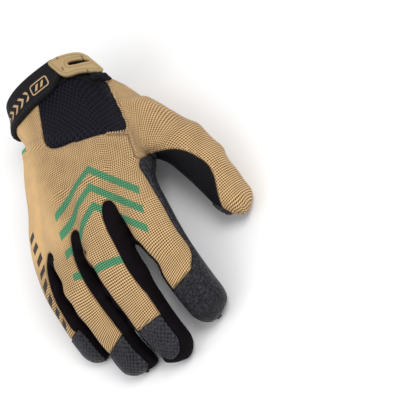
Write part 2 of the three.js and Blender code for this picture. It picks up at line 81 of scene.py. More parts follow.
# Camera: angles, the spot it is aimed from, and where that spot lies in its square picture.
AZIMUTH, ELEVATION, ROLL = math.radians(38.7), math.radians(50.2), math.radians(-67.4)
TARGET, DISTANCE = Vector((-0.00485, -0.0694, 0.03)), 0.9
FOCAL_PIXELS, PICTURE, TARGET_PIXEL = 1566, 416, (96.2, 229.6)
level = Vector((math.cos(AZIMUTH), math.sin(AZIMUTH), 0))
back = Vector(
    (math.sin(AZIMUTH) * math.cos(ELEVATION), -math.cos(AZIMUTH) * math.cos(ELEVATION), math.sin(ELEVATION))
)
above = back.cross(level)
right = level * math.cos(ROLL) + above * math.sin(ROLL)
up = above * math.cos(ROLL) - level * math.sin(ROLL)
sight = right * (TARGET_PIXEL[0] - PICTURE / 2) + up * (PICTURE / 2 - TARGET_PIXEL[1]) - back * FOCAL_PIXELS
turn = sight.normalized().rotation_difference(-back)
AXES, EYE = [turn @ right, turn @ up, turn @ back], TARGET + back * DISTANCE
FACING = np.array(back)


def seen(spots):
    """Where spots given in millimetres appear, in the camera's pixels, and pixels per millimetre there."""
    away = spots * 0.001 - np.array(EYE)
    depth = -away @ np.array(AXES[2])
    flat = np.stack([away @ np.array(AXES[0]), -away @ np.array(AXES[1])], 1)
    return PICTURE / 2 + FOCAL_PIXELS * flat / depth[:, None], FOCAL_PIXELS * 0.001 / depth


WEBS = ["fourchette_ring_pinky", "fourchette_middle_ring", "fourchette_index_middle"]
CAPS = ["pinky_cap", "ring_cap", "middle_cap", "index_guard"]
PANELS = [
    "back_panel", "wrist_mesh", "thumb_back", "thumb_inner", "palm_panel", *WEBS, *CAPS, "cuff_band",
]
# Soft waviness of the sheet: height, size and seed.
WAVES = [(0.35, 21, 1), (0.12, 8, 2)]
# Soft creases across the fingers' backs: start, end and width in the picture, depth in millimetres.
CREASES = [
    ((114, 271), (139, 261), 2.6, 0.4),
    ((119, 277), (141, 268), 2.6, 0.35),
    ((143, 306), (159, 294), 2.4, 0.35),
    ((91, 298), (106, 289), 2.4, 0.4),
    ((72, 252), (58, 262), 2.6, 0.3),
    ((158, 262), (180, 246), 3.0, 0.35),
    ((166, 272), (186, 255), 2.6, 0.3),
]
# Hollows of the sheet that are filled: place and reach in the picture, rise in millimetres.
FILLS = [(131, 137, 8, 1.2), (136, 148, 8, 1.8), (50, 152, 9, 0.6), (87, 258, 6, 1.8)]
# How a panel meets its seams: height it stands proud, width over which it turns down, stitched groove, wall.
DIP, DIP_WIDTH = 0.4, 1.2
LAYERS = {
    "back_panel": (0, 0, 0, 1.4),
    "wrist_mesh": (0, 0, 0, 1.6),
    "thumb_back": (0, 0, 0, 1.4),
    "thumb_inner": (0, 0, 0, 1.8),
    "palm_panel": (0, 0, 0, 1.8),
    **{name: (0, 0, 0, 1.2) for name in WEBS},
    **{name: (0.7, 0.9, 2.0, 1.5) for name in CAPS[:3]},
    "index_guard": (0.9, 1.1, 2.3, 1.5),
    "cuff_band": (0, 0, 0, 2.2),
    "wrist_strap": (0.6, 0.9, 1.9, 2.2),
    "pull_tab": (0.5, 0.7, 0, 1.9),
}
# Depth and width of the groove that stitches press; height over the floor where edges begin to stand proud.
PRESS, PRESS_WIDTH, PROUD_FROM, PROUD_OVER = 0.28, 0.55, 1, 5
FAR = 9.0  # stands for the distance from a seam where there is none near
SHARP = 20  # pixels that a full turn of the sheet towards the camera stands for
# Shifts of the sheet, level with the floor, that bring it to its outline in the camera's picture:
# place and shift in pixels, reach.
SHIFTS = [
    (80, 245, -4.0, 0, 12), (92, 264, -4.5, 0, 13), (101, 284, -3.0, 0, 12), (109, 303, -1.8, 0, 12),
    (57, 272, -3.0, 0, 10), (68, 296, -4.5, 0, 11), (78, 316, -3.5, 0, 11),
    (128, 219, -5.0, 0, 11), (137, 237, -2.5, 1, 9), (154, 264, 3.5, -1, 11),
    (222, 308, -2.5, -1.5, 10), (152, 360, 7.0, 0.5, 10), (103, 358, 3.0, 1, 9), (178, 362, 0, -2, 10),
    (84, 64, 1.5, -5.0, 15), (143, 102, 2.0, -6.5, 13), (24, 212, 3.0, 0, 22),
    (218, 149, 4.0, -3.5, 10), (243, 184, -3.0, 1.0, 10), (243, 208, 1.0, 3.5, 8),
    (161, 109, 1.0, -6.0, 14), (178, 117, 1.5, -3.0, 12), (196, 128, 2.5, -4.5, 13),
    (210, 138, 2.0, -3.0, 8),
    (21, 134, -5.5, 1.0, 12), (26, 150, -3.5, 0.5, 9),
]
# The seams' lines in the camera's picture: x, y and rounding of the corners.
MESH_WINDOW = [
    (20, 60, 0), (37.5, 102, 3), (40, 119, 5), (44.5, 146.5, 9), (54, 149, 6), (80, 140.5, 12),
    (101, 133.5, 12), (128, 131, 3),
    (127.5, 123, 3), (122.5, 111, 9), (115, 95, 9), (106.5, 78.5, 4), (110, 40, 0),
]
WEB_TOPS = {
    "fourchette_ring_pinky": (262, [
        (46.7, 259, 4), (47.5, 253, 3.5), (52, 253, 3), (53.5, 262, 3), (90, 262.5, 0), (150, 262.5, 0),
        (150, 390, 0), (84, 336, 0),
        (72, 331, 5), (63.3, 316.7, 9), (56.7, 305, 9), (51.7, 293, 9), (48.3, 280, 9), (46.7, 267, 6),
    ]),
    "fourchette_middle_ring": (268, [
        (70.5, 238, 4), (72, 230, 4), (78, 230, 4), (80.3, 242, 6), (84.5, 256, 9), (92, 268.5, 0),
        (170, 268.5, 0), (170, 380, 0), (130, 345, 0),
        (121, 332, 5), (110, 318, 9), (96.7, 300, 9), (88.3, 288, 9), (81.7, 276.7, 9),
        (75.8, 263.3, 9), (72.5, 251.7, 9),
    ]),
    "fourchette_index_middle": (242, [
        (101.7, 211, 5), (103, 200, 6), (113, 200, 6), (118, 211, 8), (123.5, 220, 9), (129, 230, 9),
        (137, 242.5, 0),
        (230, 242.5, 0), (230, 380, 0), (190, 345, 0), (160, 311, 0), (155, 301, 9), (145, 291.7, 9),
        (135, 280, 9), (125.8, 266.7, 9),
        (120, 255, 9), (113.3, 241.7, 9), (106.7, 230, 9), (102.5, 218, 9),
    ]),
}
CAP_OUTLINES = {
    "pinky_cap": [
        (66, 336, 0), (79.5, 329, 0), (90, 339, 8), (100, 347.5, 8), (107, 353, 4), (108, 360, 4),
        (100, 368, 0), (60, 360, 0),
    ],
    "ring_cap": [
        (106, 350, 0), (119, 327, 0), (131, 337, 5), (140, 345, 8), (147, 355, 8), (149.5, 366, 6),
        (145, 374, 5), (138, 382, 0),
        (98, 364, 0),
    ],
    "middle_cap": [
        (134, 327, 0), (158, 306, 0), (170, 324, 8), (178, 336, 8), (181.5, 350, 8), (175, 359.5, 6),
        (165, 359, 8), (152, 347, 9),
    ],
}
# Upper seam of each cap: finger, start, end, and the furthest right that the back panel goes.
CAP_SEAMS = {
    "ring_cap": (1, (110.4, 353), (122, 335), 400),
    "middle_cap": (2, (139, 330.5), (163, 312.5), 400),
    "index_guard": (3, (173.5, 289), (192, 268.5), 191.5),
}
THUMB_BACK = [
    (100, 140, 0), (137, 164, 0), (142, 158, 0), (148, 155.5, 2), (154, 153, 5), (171, 148.5, 12),
    (184, 150, 9), (195, 155, 9), (204, 160.5, 9), (211, 168, 9),
    (215, 180, 9), (217.5, 195, 9), (221, 206, 5), (226, 214, 0), (240, 240, 0), (290, 240, 0),
    (290, 90, 0), (110, 60, 0),
]
GUARD = [
    (139, 166, 4), (141, 157.5, 5), (155, 153.5, 2), (160, 163, 3), (158, 171, 0), (260, 230, 0),
    (260, 270, 0), (191, 268, 4),
    (193, 257, 5), (190.5, 247.5, 6), (183, 237.5, 9), (176, 228, 9), (170, 218, 9), (164.5, 207, 9),
    (156, 193, 9), (146.5, 177, 9),
]
# How far the seams are cut again: limits in the picture, reaches in pixels round a cap's seam and in
# millimetres from the rim and a fingertip.
MESH_BOTTOM, THUMB_LEFT, KNIT_BOTTOM, GUARD_BOTTOM, THUMB_END = 156, 105, 100, 264, (186, 148)
CAP_REACH, RIM_REACH, TIP_REACH = 26, 30, 19
# The cuff's band: its depth, the depth where the knit covers it, where that begins and over which width;
# how much deeper it is on the underside, up to which height; and at its lower corner: cut, from, over, up to.
BAND_DEPTH, BAND_COVERED, COVERED_FROM, COVERED_OVER = 16.4, -1.0, 102, 7
UNDER_DEPTH, UNDER_HEIGHT = 14, 3
CORNER_CUT, CORNER_FROM, CORNER_OVER, CORNER_RIGHT = 7, 124, 14, 45
# Where side fabric bulges into the gaps between fingers: place in the picture, reach, height.
BULGES = {
    "fourchette_index_middle": [(125, 227, 10, 4.4), (133, 239, 7, 3.5)],
    "fourchette_middle_ring": [
        (105, 292, 9, 3.0), (114, 306, 9, 3.2), (122, 318, 7, 2.4), (130, 324, 7, 2.5),
    ],
    "fourchette_ring_pinky": [(76, 318, 8, 1.5)],
}
# Strap and tab: panel numbers, edges and end of the strap, distances along the cuff.
STRAP, TAB = 100, 101
STRAP_LOW, STRAP_HIGH, STRAP_END = -0.8, 18.9, 14
# The tab's outline and slot in the camera's picture: x, y, rounding.
TAB_OUTLINE = [
    (47.3, 62.6, 1.5), (54, 57.6, 4), (62, 54.6, 5), (72, 52.2, 6), (81, 52, 6), (88, 55.3, 5),
    (92.5, 59.3, 3), (98, 64, 3), (104.3, 69.8, 1.5),
    (100, 71.6, 3), (88, 71, 5), (78, 72.2, 5), (71, 75, 4), (65, 76.4, 4), (59.5, 74.8, 4),
    (54.5, 70.5, 4), (48, 65, 1.5),
]
TAB_SLOT = [
    (66.8, 62.3, 1.5), (72, 60.4, 3), (80, 59, 4), (86, 59.2, 3), (90.5, 60.8, 1), (82, 62.2, 4),
    (75, 64.1, 4), (68.4, 65, 1.5),
]
# A twisted tuck of the cuff's fabric beside the tab: column, distance from the rim, lift, radius.
TUCK = [
    (17.75, 12.5, 1.4, 0.6), (18.2, 11.6, 2.4, 2.0), (18.7, 10, 3.0, 2.6), (19.1, 8, 3.4, 1.9),
    (19.4, 6.2, 3.8, 2.7),
    (19.65, 4.6, 2.6, 0.6),
]
TUCK_RINGS, TUCK_SIDES, TUCK_ASIDE = 31, 18, 1.2
# Rows of stitches: panel, its neighbours there, distance from the seam, length, gap, radius, slant.
BACKS = ("back_panel", "thumb_back")
STITCHES = {
    "guard_stitches": [
        ("index_guard", BACKS, 2.3, 2.2, 0.9, 0.3, 0),
        *[(cap, BACKS, 2.0, 2.0, 0.8, 0.27, 0) for cap in CAPS[:3]],
    ],
    "mesh_overlock": [("wrist_mesh", ("thumb_back",), 0.15, 0.8, 0.75, 0.42, 1.6)],
    "thumb_stitches": [("thumb_back", ("back_panel", "thumb_inner"), 1.5, 1.8, 0.8, 0.26, 0)],
    "mesh_stitches": [("back_panel", ("wrist_mesh",), 1.1, 1.8, 0.7, 0.26, 0)],
    "strap_stitches": [("wrist_strap", None, 1.9, 2.0, 0.8, 0.27, 0)],
}


def mix(a, b, share):
    return a + (b - a) * share


def smooth(x):
    x = np.clip(x, 0, 1)
    return x * x * (3 - 2 * x)


def bell(flat, x, y, reach):
    return np.exp(-(((flat - (x, y)) / reach) ** 2).sum(1))


def crown(share):
    return (1 - min(1, abs(share)) ** POWER) ** (1 / POWER)


def unit(v):
    return v / max(1e-12, np.linalg.norm(v))


def unit_ring(shares):
    over = [CORNER * (2 * share - 1) for share in shares]
    edge = crown(CORNER)
    flank = [edge * (1 - 2 * (k + 1) / SIDE) for k in range(SIDE - 1)]
    return (
        [(u, crown(u)) for u in over]
        + [(crown(v), v) for v in flank]
        + [(u, -crown(u)) for u in reversed(over)]
        + [(-crown(v), v) for v in reversed(flank)]
    )


FINGER_RING = unit_ring([i / TOP for i in range(TOP + 1)])


class Digit:
    def __init__(self, across, back, height, bones, pitch, turn, width, depth, roll, twist, swell, size):
        length, girth = size
        self.root = np.array([across * PALM_WIDTH, back * PALM_LENGTH, height * KNUCKLE_HEIGHT])
        self.bones = [share * length for share in bones]
        self.pitch, self.turn, self.depth = pitch, turn, depth
        self.roll, self.twist, self.swell = roll, twist, swell
        self.length = sum(self.bones)
        self.half = width * girth / 2
        self.known = {}

    def axis(self, distance):
        pitch, turn, joint = self.pitch[0], self.turn[0], 0
        for k in range(2):
            joint += self.bones[k]
            bent = smooth((distance - joint) / BEND_LENGTH + 0.5)
            pitch += bent * (self.pitch[k + 1] - self.pitch[k])
            turn += bent * (self.turn[k + 1] - self.turn[k])
        fall, yaw = math.radians(pitch), math.radians(turn)
        return np.array([math.sin(yaw) * math.cos(fall), -math.cos(yaw) * math.cos(fall), -math.sin(fall)])

    def frame(self, distance):
        key = round(distance, 5)
        if key not in self.known:
            steps = max(1, math.ceil(abs(distance)))
            centre = self.root.copy()
            for i in range(steps):
                centre += self.axis((i + 0.5) * distance / steps) * distance / steps
            axis = self.axis(distance)
            level = unit(np.array([-axis[1], axis[0], 0]))
            raised = np.cross(axis, level)
            lean = math.radians(self.roll + self.twist * smooth(distance / self.length / TWIST_LENGTH))
            side = level * math.cos(lean) - raised * math.sin(lean)
            up = raised * math.cos(lean) + level * math.sin(lean)
            self.known[key] = (centre, side, up, axis)
        return self.known[key]

    def point(self, distance, u, v):
        centre, side, up, _ = self.frame(distance)
        narrowing = 1 - TAPER * max(0, distance / self.length)
        dome = self.half * narrowing
        past = max(0, (distance - (self.length - dome)) / dome)
        girth = narrowing * math.sqrt(max(0, 1 - past * past))
        swollen = 1 + self.swell * (1 - smooth(distance / self.length / SWELL_LENGTH))
        return centre + side * u * self.half * girth * swollen + up * v * self.half * self.depth * girth

    def end_point(self, u, v):
        centre, side, up, axis = self.frame(self.length)
        size = self.half * TIP_SPREAD
        return centre + side * u * size + up * v * size - axis * TIP_ROUND * size * abs(u)


digits = [
    Digit(a, b, h, bones, pitch, (splay,) * 3, w, d, roll, 0, 0, (FINGER_LENGTH, FINGER_WIDTH))
    for a, b, h, bones, pitch, w, d, splay, roll, cap, seam in FINGERS
]
a, b, h, bones, pitch, turn, w, d, roll, twist = THUMB
thumb = Digit(a, b, h, bones, pitch, turn, w, d, roll, twist, ROOT_SWELL, (THUMB_LENGTH, THUMB_WIDTH))

first_edge = digits[0].root[0] - CORNER * digits[0].half
edge_span = digits[3].root[0] + CORNER * digits[3].half - first_edge
back_shares = [
    (digit.root[0] + CORNER * digit.half * (2 * i / TOP - 1) - first_edge) / edge_span
    for digit in digits
    for i in range(TOP + 1)
]
palm_ring = unit_ring(back_shares)
COLUMNS, BACK_COLUMNS = len(palm_ring), len(back_shares)
PALM_START, THUMB_EDGE = BACK_COLUMNS + SIDE - 1, BACK_COLUMNS - 1
RING, UNDER = len(FINGER_RING), TOP + SIDE  # a digit's points, and the first one of its palm side
TIP_CLOTH, WEB_CLOTH = 4, (8, 6)  # cloth lengths of a cell on a tip and in a web
PALM_MIDDLE = PALM_START + BACK_COLUMNS // 2

points, faces, loose = [], [], set()


def add_point(position):
    points.append(np.array(position, float))
    return len(points) - 1


def finger_of(column):
    per = TOP + 1
    if column < BACK_COLUMNS:
        return column // per, column % per
    if column < PALM_START:
        return 3, per + column - BACK_COLUMNS
    if column < PALM_START + BACK_COLUMNS:
        under = column - PALM_START
        return 3 - under // per, per + SIDE - 1 + under % per
    return 0, RING - (COLUMNS - column)


def knuckle_back(share):
    along = [((digit.root[0] - first_edge) / edge_span, digit.root[1]) for digit in digits]
    if share <= along[0][0]:
        return along[0][1]
    for start, end in zip(along, along[1:]):
        if share < end[0]:
            return mix(start[1], end[1], smooth((share - start[0]) / (end[0] - start[0])))
    return along[-1][1]


def palm_point(section, row, column):
    along, slant, middle, half, top, bottom, finger = section
    u, v = palm_ring[column]
    share = (u / CORNER + 1) / 2
    span = mix(*SLANT_SPANS, min(1, row / MESH_ROWS[1]))
    slanted = slant * PALM_LENGTH * min(1, (1 - share) / span)
    own = np.array([
        middle * PALM_WIDTH + half * PALM_WIDTH * u,
        along * PALM_LENGTH + slanted + smooth(row / WEB_ROW) * knuckle_back(share),
        mix(bottom, top, (v + 1) / 2) * KNUCKLE_HEIGHT,
    ])
    if not finger:
        return own
    order, place = finger_of(column)
    reach = along / PALM_SECTIONS[WEB_ROW][0] * WEB_DEPTH
    return mix(own, digits[order].point(reach, *FINGER_RING[place]), finger)


palm_rows = [
    [add_point(palm_point(section, row, column)) for column in range(COLUMNS)]
    for row, section in enumerate(PALM_SECTIONS)
]


def lengths(ring):
    """Distance round a closed ring from its first point to each point, and to the first again."""
    places = np.array([points[i] for i in ring + ring[:1]])
    return np.concatenate([[0], np.cumsum(np.linalg.norm(np.diff(places, axis=0), axis=1))])


def across(lengths_round, step, middle, under, back_until, under_until):
    """Cloth coordinate at the start and end of a ring's step, from the middle of its back or palm side."""
    if step < back_until:
        shift = -lengths_round[middle]
    elif step < under_until:
        shift = -lengths_round[under]
    else:
        shift = -lengths_round[-1] - lengths_round[middle]
    return lengths_round[step] + shift, lengths_round[step + 1] + shift


def add_band(near, far, panel_of, cloth_near, cloth_far):
    """cloth_near and cloth_far give (u, v) at the start and end of a step."""
    for i in range(len(near)):
        after = (i + 1) % len(near)
        panel = panel_of(i)
        if panel:
            near_start, near_end = cloth_near(i)
            far_start, far_end = cloth_far(i)
            corners = (near[i], far[i], far[after], near[after])
            faces.append((corners, panel, (near_start, far_start, far_end, near_end)))


def ring_cloth(ring, along, offset=(0, 0)):
    """Cloth coordinates of a digit's ring at a distance along it."""
    around = lengths(ring)

    def at(step):
        start, end = across(around, step, TOP // 2, UNDER + TOP // 2, UNDER, UNDER + TOP)
        shift = offset[1] if UNDER <= step < UNDER + TOP else offset[0]
        return (start + shift, along), (end + shift, along)

    return at


def add_tip(ring, digit, panel_of, cloth):
    grid = [ring[: TOP + 1]]
    for k in range(SIDE - 1):
        v = TIP_SPREAD * (1 - 2 * (k + 1) / SIDE)
        inner = [add_point(digit.end_point((i + 1) * 2 / TOP - 1, v)) for i in range(TOP - 1)]
        grid.append([ring[-1 - k], *inner, ring[TOP + 1 + k]])
    grid.append(list(reversed(ring[TOP + SIDE : TOP + SIDE + TOP + 1])))
    (u0, v0), _ = cloth(0)
    _, (u1, _) = cloth(TOP - 1)
    for k in range(SIDE):
        for i in range(TOP):
            corners = (grid[k][i], grid[k + 1][i], grid[k + 1][i + 1], grid[k][i + 1])
            left, right = mix(u0, u1, i / TOP), mix(u0, u1, (i + 1) / TOP)
            above, below = v0 + TIP_CLOTH * k, v0 + TIP_CLOTH * (k + 1)
            cell_cloth = ((left, above), (left, below), (right, below), (right, above))
            faces.append((corners, panel_of(k), cell_cloth))


def part_of(step):
    if step < TOP:
        return "back"
    if step < TOP + SIDE:
        return "thumb_side"
    return "palm" if step < 2 * TOP + SIDE else "little_side"


def finger_panel(order, step, capped):
    part = part_of(step)
    if part == "palm":
        return "palm_panel"
    if part == "thumb_side":
        return CAPS[3] if order == 3 else WEBS[order]
    if part == "little_side" and order > 0:
        return WEBS[order - 1]
    return CAPS[order] if capped else "back_panel"


def tip_panel(order, row):
    if row == SIDE - 1:
        return "palm_panel"
    return CAPS[order] if row == 0 or order == 3 else WEBS[order]


column_lengths = np.zeros((WEB_ROW + 1, COLUMNS))
for row in range(WEB_ROW):
    for column in range(COLUMNS):
        step = points[palm_rows[row + 1][column]] - points[palm_rows[row][column]]
        column_lengths[row + 1, column] = column_lengths[row, column] + np.linalg.norm(step)
row_lengths = [lengths(ring) for ring in palm_rows]


def palm_cloth(row):
    def at(step):
        start, end = across(
            row_lengths[row], step, BACK_COLUMNS // 2, PALM_MIDDLE, PALM_START, PALM_START + BACK_COLUMNS - 1
        )
        after = (step + 1) % COLUMNS
        return (start, column_lengths[row, step]), (end, column_lengths[row, after])

    return at


def add_finger(order):
    digit = digits[order]
    cap_span, lean = FINGERS[order][9] * CAP_LENGTH, FINGERS[order][10] * FINGER_WIDTH
    web = palm_rows[WEB_ROW]
    back_from = order * (TOP + 1)
    palm_from = PALM_START + (3 - order) * (TOP + 1)

    def own(place):
        made = add_point(digit.point(WEB_DEPTH, *FINGER_RING[place]))
        loose.add(made)
        return made

    thumb_side = [web[BACK_COLUMNS + k] if order == 3 else own(TOP + 1 + k) for k in range(SIDE - 1)]
    little_side = [
        web[COLUMNS - SIDE + 1 + k] if order == 0 else own(RING - SIDE + 1 + k) for k in range(SIDE - 1)
    ]
    back_row, palm_row = web[back_from : back_from + TOP + 1], web[palm_from : palm_from + TOP + 1]
    first = ring = back_row + thumb_side + palm_row + little_side
    offset = (
        palm_cloth(WEB_ROW)(back_from + 2)[0][0],
        palm_cloth(WEB_ROW)(palm_from + 2)[0][0],
    )
    start = column_lengths[WEB_ROW, back_from + 2] - WEB_DEPTH
    cloth = ring_cloth(ring, start + WEB_DEPTH, offset)
    seam = digit.length - cap_span
    places = [mix(WEB_DEPTH, seam, (i + 1) / SHAFT_ROWS) for i in range(SHAFT_ROWS)]
    places += [seam + share * cap_span for share in CAP_ROWS]
    for i, place in enumerate(places):
        near_seam = max(0, 1 - abs(place - seam) / cap_span)
        made = [add_point(digit.point(place - u * lean * near_seam, u, v)) for u, v in FINGER_RING]
        made_cloth = ring_cloth(made, start + place, offset)
        add_band(ring, made, lambda step: finger_panel(order, step, i >= SHAFT_ROWS), cloth, made_cloth)
        ring, cloth = made, made_cloth
    add_tip(ring, digit, lambda row: tip_panel(order, row), cloth)
    return first


roots = [add_finger(order) for order in range(4)]
for order in range(3):
    little, near = roots[order], roots[order + 1]
    left = little[TOP : TOP + SIDE + 1]
    right = [near[0], *reversed(near[1 - SIDE :]), near[2 * TOP + SIDE]]
    for k in range(SIDE):
        wide, long = WEB_CLOTH
        cloth = ((0, long * k), (0, long * k + long), (wide, long * k + long), (wide, long * k))
        faces.append(((left[k], left[k + 1], right[k + 1], right[k]), WEBS[order], cloth))


def hand_panel(row, step):
    if row < CUFF_ROWS:
        return "cuff_band"
    if THUMB_EDGE <= step < THUMB_EDGE + SIDE:
        if THUMB_ROWS[0] <= row < THUMB_ROWS[1]:
            return None
        return "thumb_back" if row < THUMB_ROWS[0] else "index_guard"
    if PALM_START <= step < COLUMNS - SIDE:
        return "palm_panel"
    if step > THUMB_EDGE:
        return "back_panel"
    if step >= MESH_FROM and MESH_ROWS[0] <= row < MESH_ROWS[1]:
        return "wrist_mesh"
    between = step % (TOP + 1) == TOP
    return WEBS[step // (TOP + 1)] if between and row == WEB_ROW - 1 else "back_panel"


for row in range(WEB_ROW):
    rows, clothes = palm_rows[row : row + 2], (palm_cloth(row), palm_cloth(row + 1))
    add_band(*rows, lambda step: hand_panel(row, step), *clothes)


def thumb_hole():
    start, end = THUMB_ROWS
    rows = list(range(end, start - 1, -1))
    flank = [BACK_COLUMNS + k for k in range(SIDE - 1)]
    return (
        [palm_rows[row][THUMB_EDGE] for row in rows]
        + [palm_rows[start][column] for column in flank]
        + [palm_rows[row][PALM_START] for row in reversed(rows)]
        + [palm_rows[end][column] for column in reversed(flank)]
    )


def thumb_panel(step, place):
    part = part_of(step)
    wraps = part == "little_side" and place > TIP_WRAP
    return "thumb_back" if part in ("back", "thumb_side") or wraps else "thumb_inner"


hole = thumb_hole()
ring, cloth = hole, ring_cloth(hole, 0)
for place, share in THUMB_SECTIONS:
    made = []
    for i, (u, v) in enumerate(FINGER_RING):
        made.append(add_point(mix(points[hole[i]], thumb.point(place * thumb.length, u, v), share)))
        if share < 1:
            loose.add(made[-1])
    made_cloth = ring_cloth(made, place * thumb.length)
    add_band(ring, made, lambda step: thumb_panel(step, place), cloth, made_cloth)
    ring, cloth = made, made_cloth
add_tip(ring, thumb, lambda row: "thumb_back" if row < SIDE - 1 else "thumb_inner", cloth)
loose.update(hole[THUMB_ROWS[1] - THUMB_ROWS[0] + 1 :])

around = [set() for _ in points]
for corners, _, _ in faces:
    for i, point in enumerate(corners):
        around[point].update((corners[(i + 1) % 4], corners[i - 1]))
for _ in range(2):
    moved = {p: mix(points[p], np.mean([points[q] for q in around[p]], axis=0), 0.5) for p in loose}
    for p, position in moved.items():
        points[p] = position
places = np.array(points)
places[:, 2] = np.maximum(0, places[:, 2])
quads = np.array([corners for corners, _, _ in faces])
panel_of_face = np.array([PANELS.index(panel) for _, panel, _ in faces])
cloth_of_face = np.array([cloth for _, _, cloth in faces], float)


def face_normals(spots, cells):
    last = np.where(cells[:, 3] < 0, cells[:, 2], cells[:, 3])
    diagonal = spots[cells[:, 2]] - spots[cells[:, 0]]
    other = spots[last] - spots[cells[:, 1]]
    flat = cells[:, 3] < 0
    other[flat] = (spots[cells[:, 2]] - spots[cells[:, 1]])[flat]
    diagonal[flat] = (spots[cells[:, 1]] - spots[cells[:, 0]])[flat]
    return np.cross(diagonal, other)


def normals_of(spots, cells):
    found = np.zeros_like(spots)
    facing = face_normals(spots, cells)
    for k in range(4):
        used = cells[:, k] >= 0
        np.add.at(found, cells[used, k], facing[used])
    return found / np.maximum(1e-12, np.linalg.norm(found, axis=1))[:, None]


def refine(spots, cells, panels, cloths, levels):
    """Subdivides a sheet into a smooth one that passes through its points."""
    control = spots.copy()
    for _ in range(4):
        reached = subdivided(control, cells, panels, cloths, 1)[0][: len(spots)]
        control += spots - reached
    return subdivided(control, cells, panels, cloths, levels)


def placed(name, data):
    """A new object in the scene."""
    made = bpy.data.objects.new(name, data)
    bpy.context.scene.collection.objects.link(made)
    return made


def subdivided(spots, cells, panels, cloths, levels):
    mesh = bpy.data.meshes.new("sheet")
    mesh.from_pydata(spots.tolist(), [], cells.tolist())
    mesh.uv_layers.new(name="cloth").uv.foreach_set("vector", cloths.astype(np.float32).ravel())
    mesh.attributes.new("panel", "INT", "FACE").data.foreach_set("value", panels.astype(np.int32))
    sheet = placed("sheet", mesh)
    modifier = sheet.modifiers.new("smooth", "SUBSURF")
    modifier.levels = modifier.render_levels = levels
    modifier.uv_smooth = "NONE"
    modifier.use_limit_surface = True
    made = sheet.evaluated_get(bpy.context.evaluated_depsgraph_get()).to_mesh()
    out = np.zeros(len(made.vertices) * 3, np.float32)
    made.vertices.foreach_get("co", out)
    loops = np.zeros(len(made.loops), np.int32)
    made.loops.foreach_get("vertex_index", loops)
    cloth_out = np.zeros(len(made.loops) * 2, np.float32)
    made.uv_layers["cloth"].uv.foreach_get("vector", cloth_out)
    panel_out = np.zeros(len(made.polygons), np.int32)
    made.attributes["panel"].data.foreach_get("value", panel_out)
    cloth_out = cloth_out.reshape(-1, 4, 2).astype(float)
    result = out.reshape(-1, 3).astype(float), loops.reshape(-1, 4), panel_out, cloth_out
    bpy.data.objects.remove(sheet)
    bpy.data.meshes.remove(mesh)
    return result


class Skin:
    """A sheet in millimetres: spots, cells (-1 in a triangle), and each cell's panel and cloth places."""

    def __init__(self, spots, cells, panels, cloths):
        self.spots, self.cells, self.panels, self.cloths = spots, cells.astype(int), panels.copy(), cloths

    def normals(self):
        return normals_of(self.spots, self.cells)

    def cut(self, value, candidates, inside, outside, scope=None):
        """Slides spots onto the line where value is zero, splits cells along it, and gives the cells of the
        candidate panels to the inside panel where value is below zero and to the outside one elsewhere.
        Only cells whose spots are all in the scope are touched."""
        scope = np.ones(len(self.spots), bool) if scope is None else scope
        chosen = np.isin(self.panels, candidates) & (self.cells[:, 3] >= 0) & scope[self.cells].all(1)
        value = value.copy()
        cells = self.cells[chosen]
        pairs = np.concatenate([cells[:, [k, (k + 1) % 4]] for k in range(4)])
        edges = np.unique(np.sort(pairs, axis=1), axis=0)
        for a, b in edges[value[edges[:, 0]] * value[edges[:, 1]] < 0]:
            if value[a] * value[b] < 0:
                share = value[a] / (value[a] - value[b])
                near, far, part = (a, b, share) if share < 0.5 else (b, a, 1 - share)
                self.spots[near] = mix(self.spots[near], self.spots[far], part)
                value[near] = 0
        corner = value[self.cells]
        mixed = chosen & (corner.max(1) > 0) & (corner.min(1) < 0)
        cells, panels, cloths = [], [], []
        for i in np.nonzero(mixed)[0]:
            turn = 0 if corner[i, 0] == 0 and corner[i, 2] == 0 else 1
            for order in ((0, 1, 2), (0, 2, 3)):
                picked = [(k + turn) % 4 for k in order]
                cells.append([*self.cells[i][picked], -1])
                panels.append(self.panels[i])
                cloths.append(self.cloths[i][picked + picked[:1]])
        self.cells = np.concatenate([self.cells[~mixed], np.array(cells, int).reshape(-1, 4)])
        self.panels = np.concatenate([self.panels[~mixed], np.array(panels, self.panels.dtype)])
        self.cloths = np.concatenate([self.cloths[~mixed], np.array(cloths, float).reshape(-1, 4, 2)])
        total = np.where(self.cells >= 0, value[self.cells], 0).sum(1)
        taken = np.isin(self.panels, candidates) & np.where(self.cells >= 0, scope[self.cells], True).all(1)
        if inside is not None:
            self.panels[taken & (total < 0)] = inside
        if outside is not None:
            self.panels[taken & (total > 0)] = outside


def outlined(flat, corners):
    """Signed distance from an outline, below zero inside. Corners: x, y and how far they are rounded."""
    corners = np.array(corners, float)
    line = []
    for i, (x, y, radius) in enumerate(corners):
        spot = np.array([x, y])
        ends = []
        for other in (corners[i - 1][:2], corners[(i + 1) % len(corners)][:2]):
            ends.append(spot + unit(other - spot) * min(radius, np.linalg.norm(other - spot) / 2))
        for share in np.linspace(0, 1, 7):
            line.append((1 - share) ** 2 * ends[0] + 2 * share * (1 - share) * spot + share**2 * ends[1])
    nearest, inside = np.full(len(flat), 1e9), np.zeros(len(flat), bool)
    for a, b in zip(line, line[1:] + line[:1]):
        along = b - a
        share = np.clip(((flat - a) @ along) / max(1e-9, along @ along), 0, 1)
        nearest = np.minimum(nearest, np.linalg.norm(flat - a - share[:, None] * along, axis=1))
        if abs(b[1] - a[1]) > 1e-9:
            spans = (a[1] > flat[:, 1]) != (b[1] > flat[:, 1])
            inside ^= spans & (flat[:, 0] < (b[0] - a[0]) * (flat[:, 1] - a[1]) / (b[1] - a[1]) + a[0])
    return np.where(inside, -nearest, nearest)


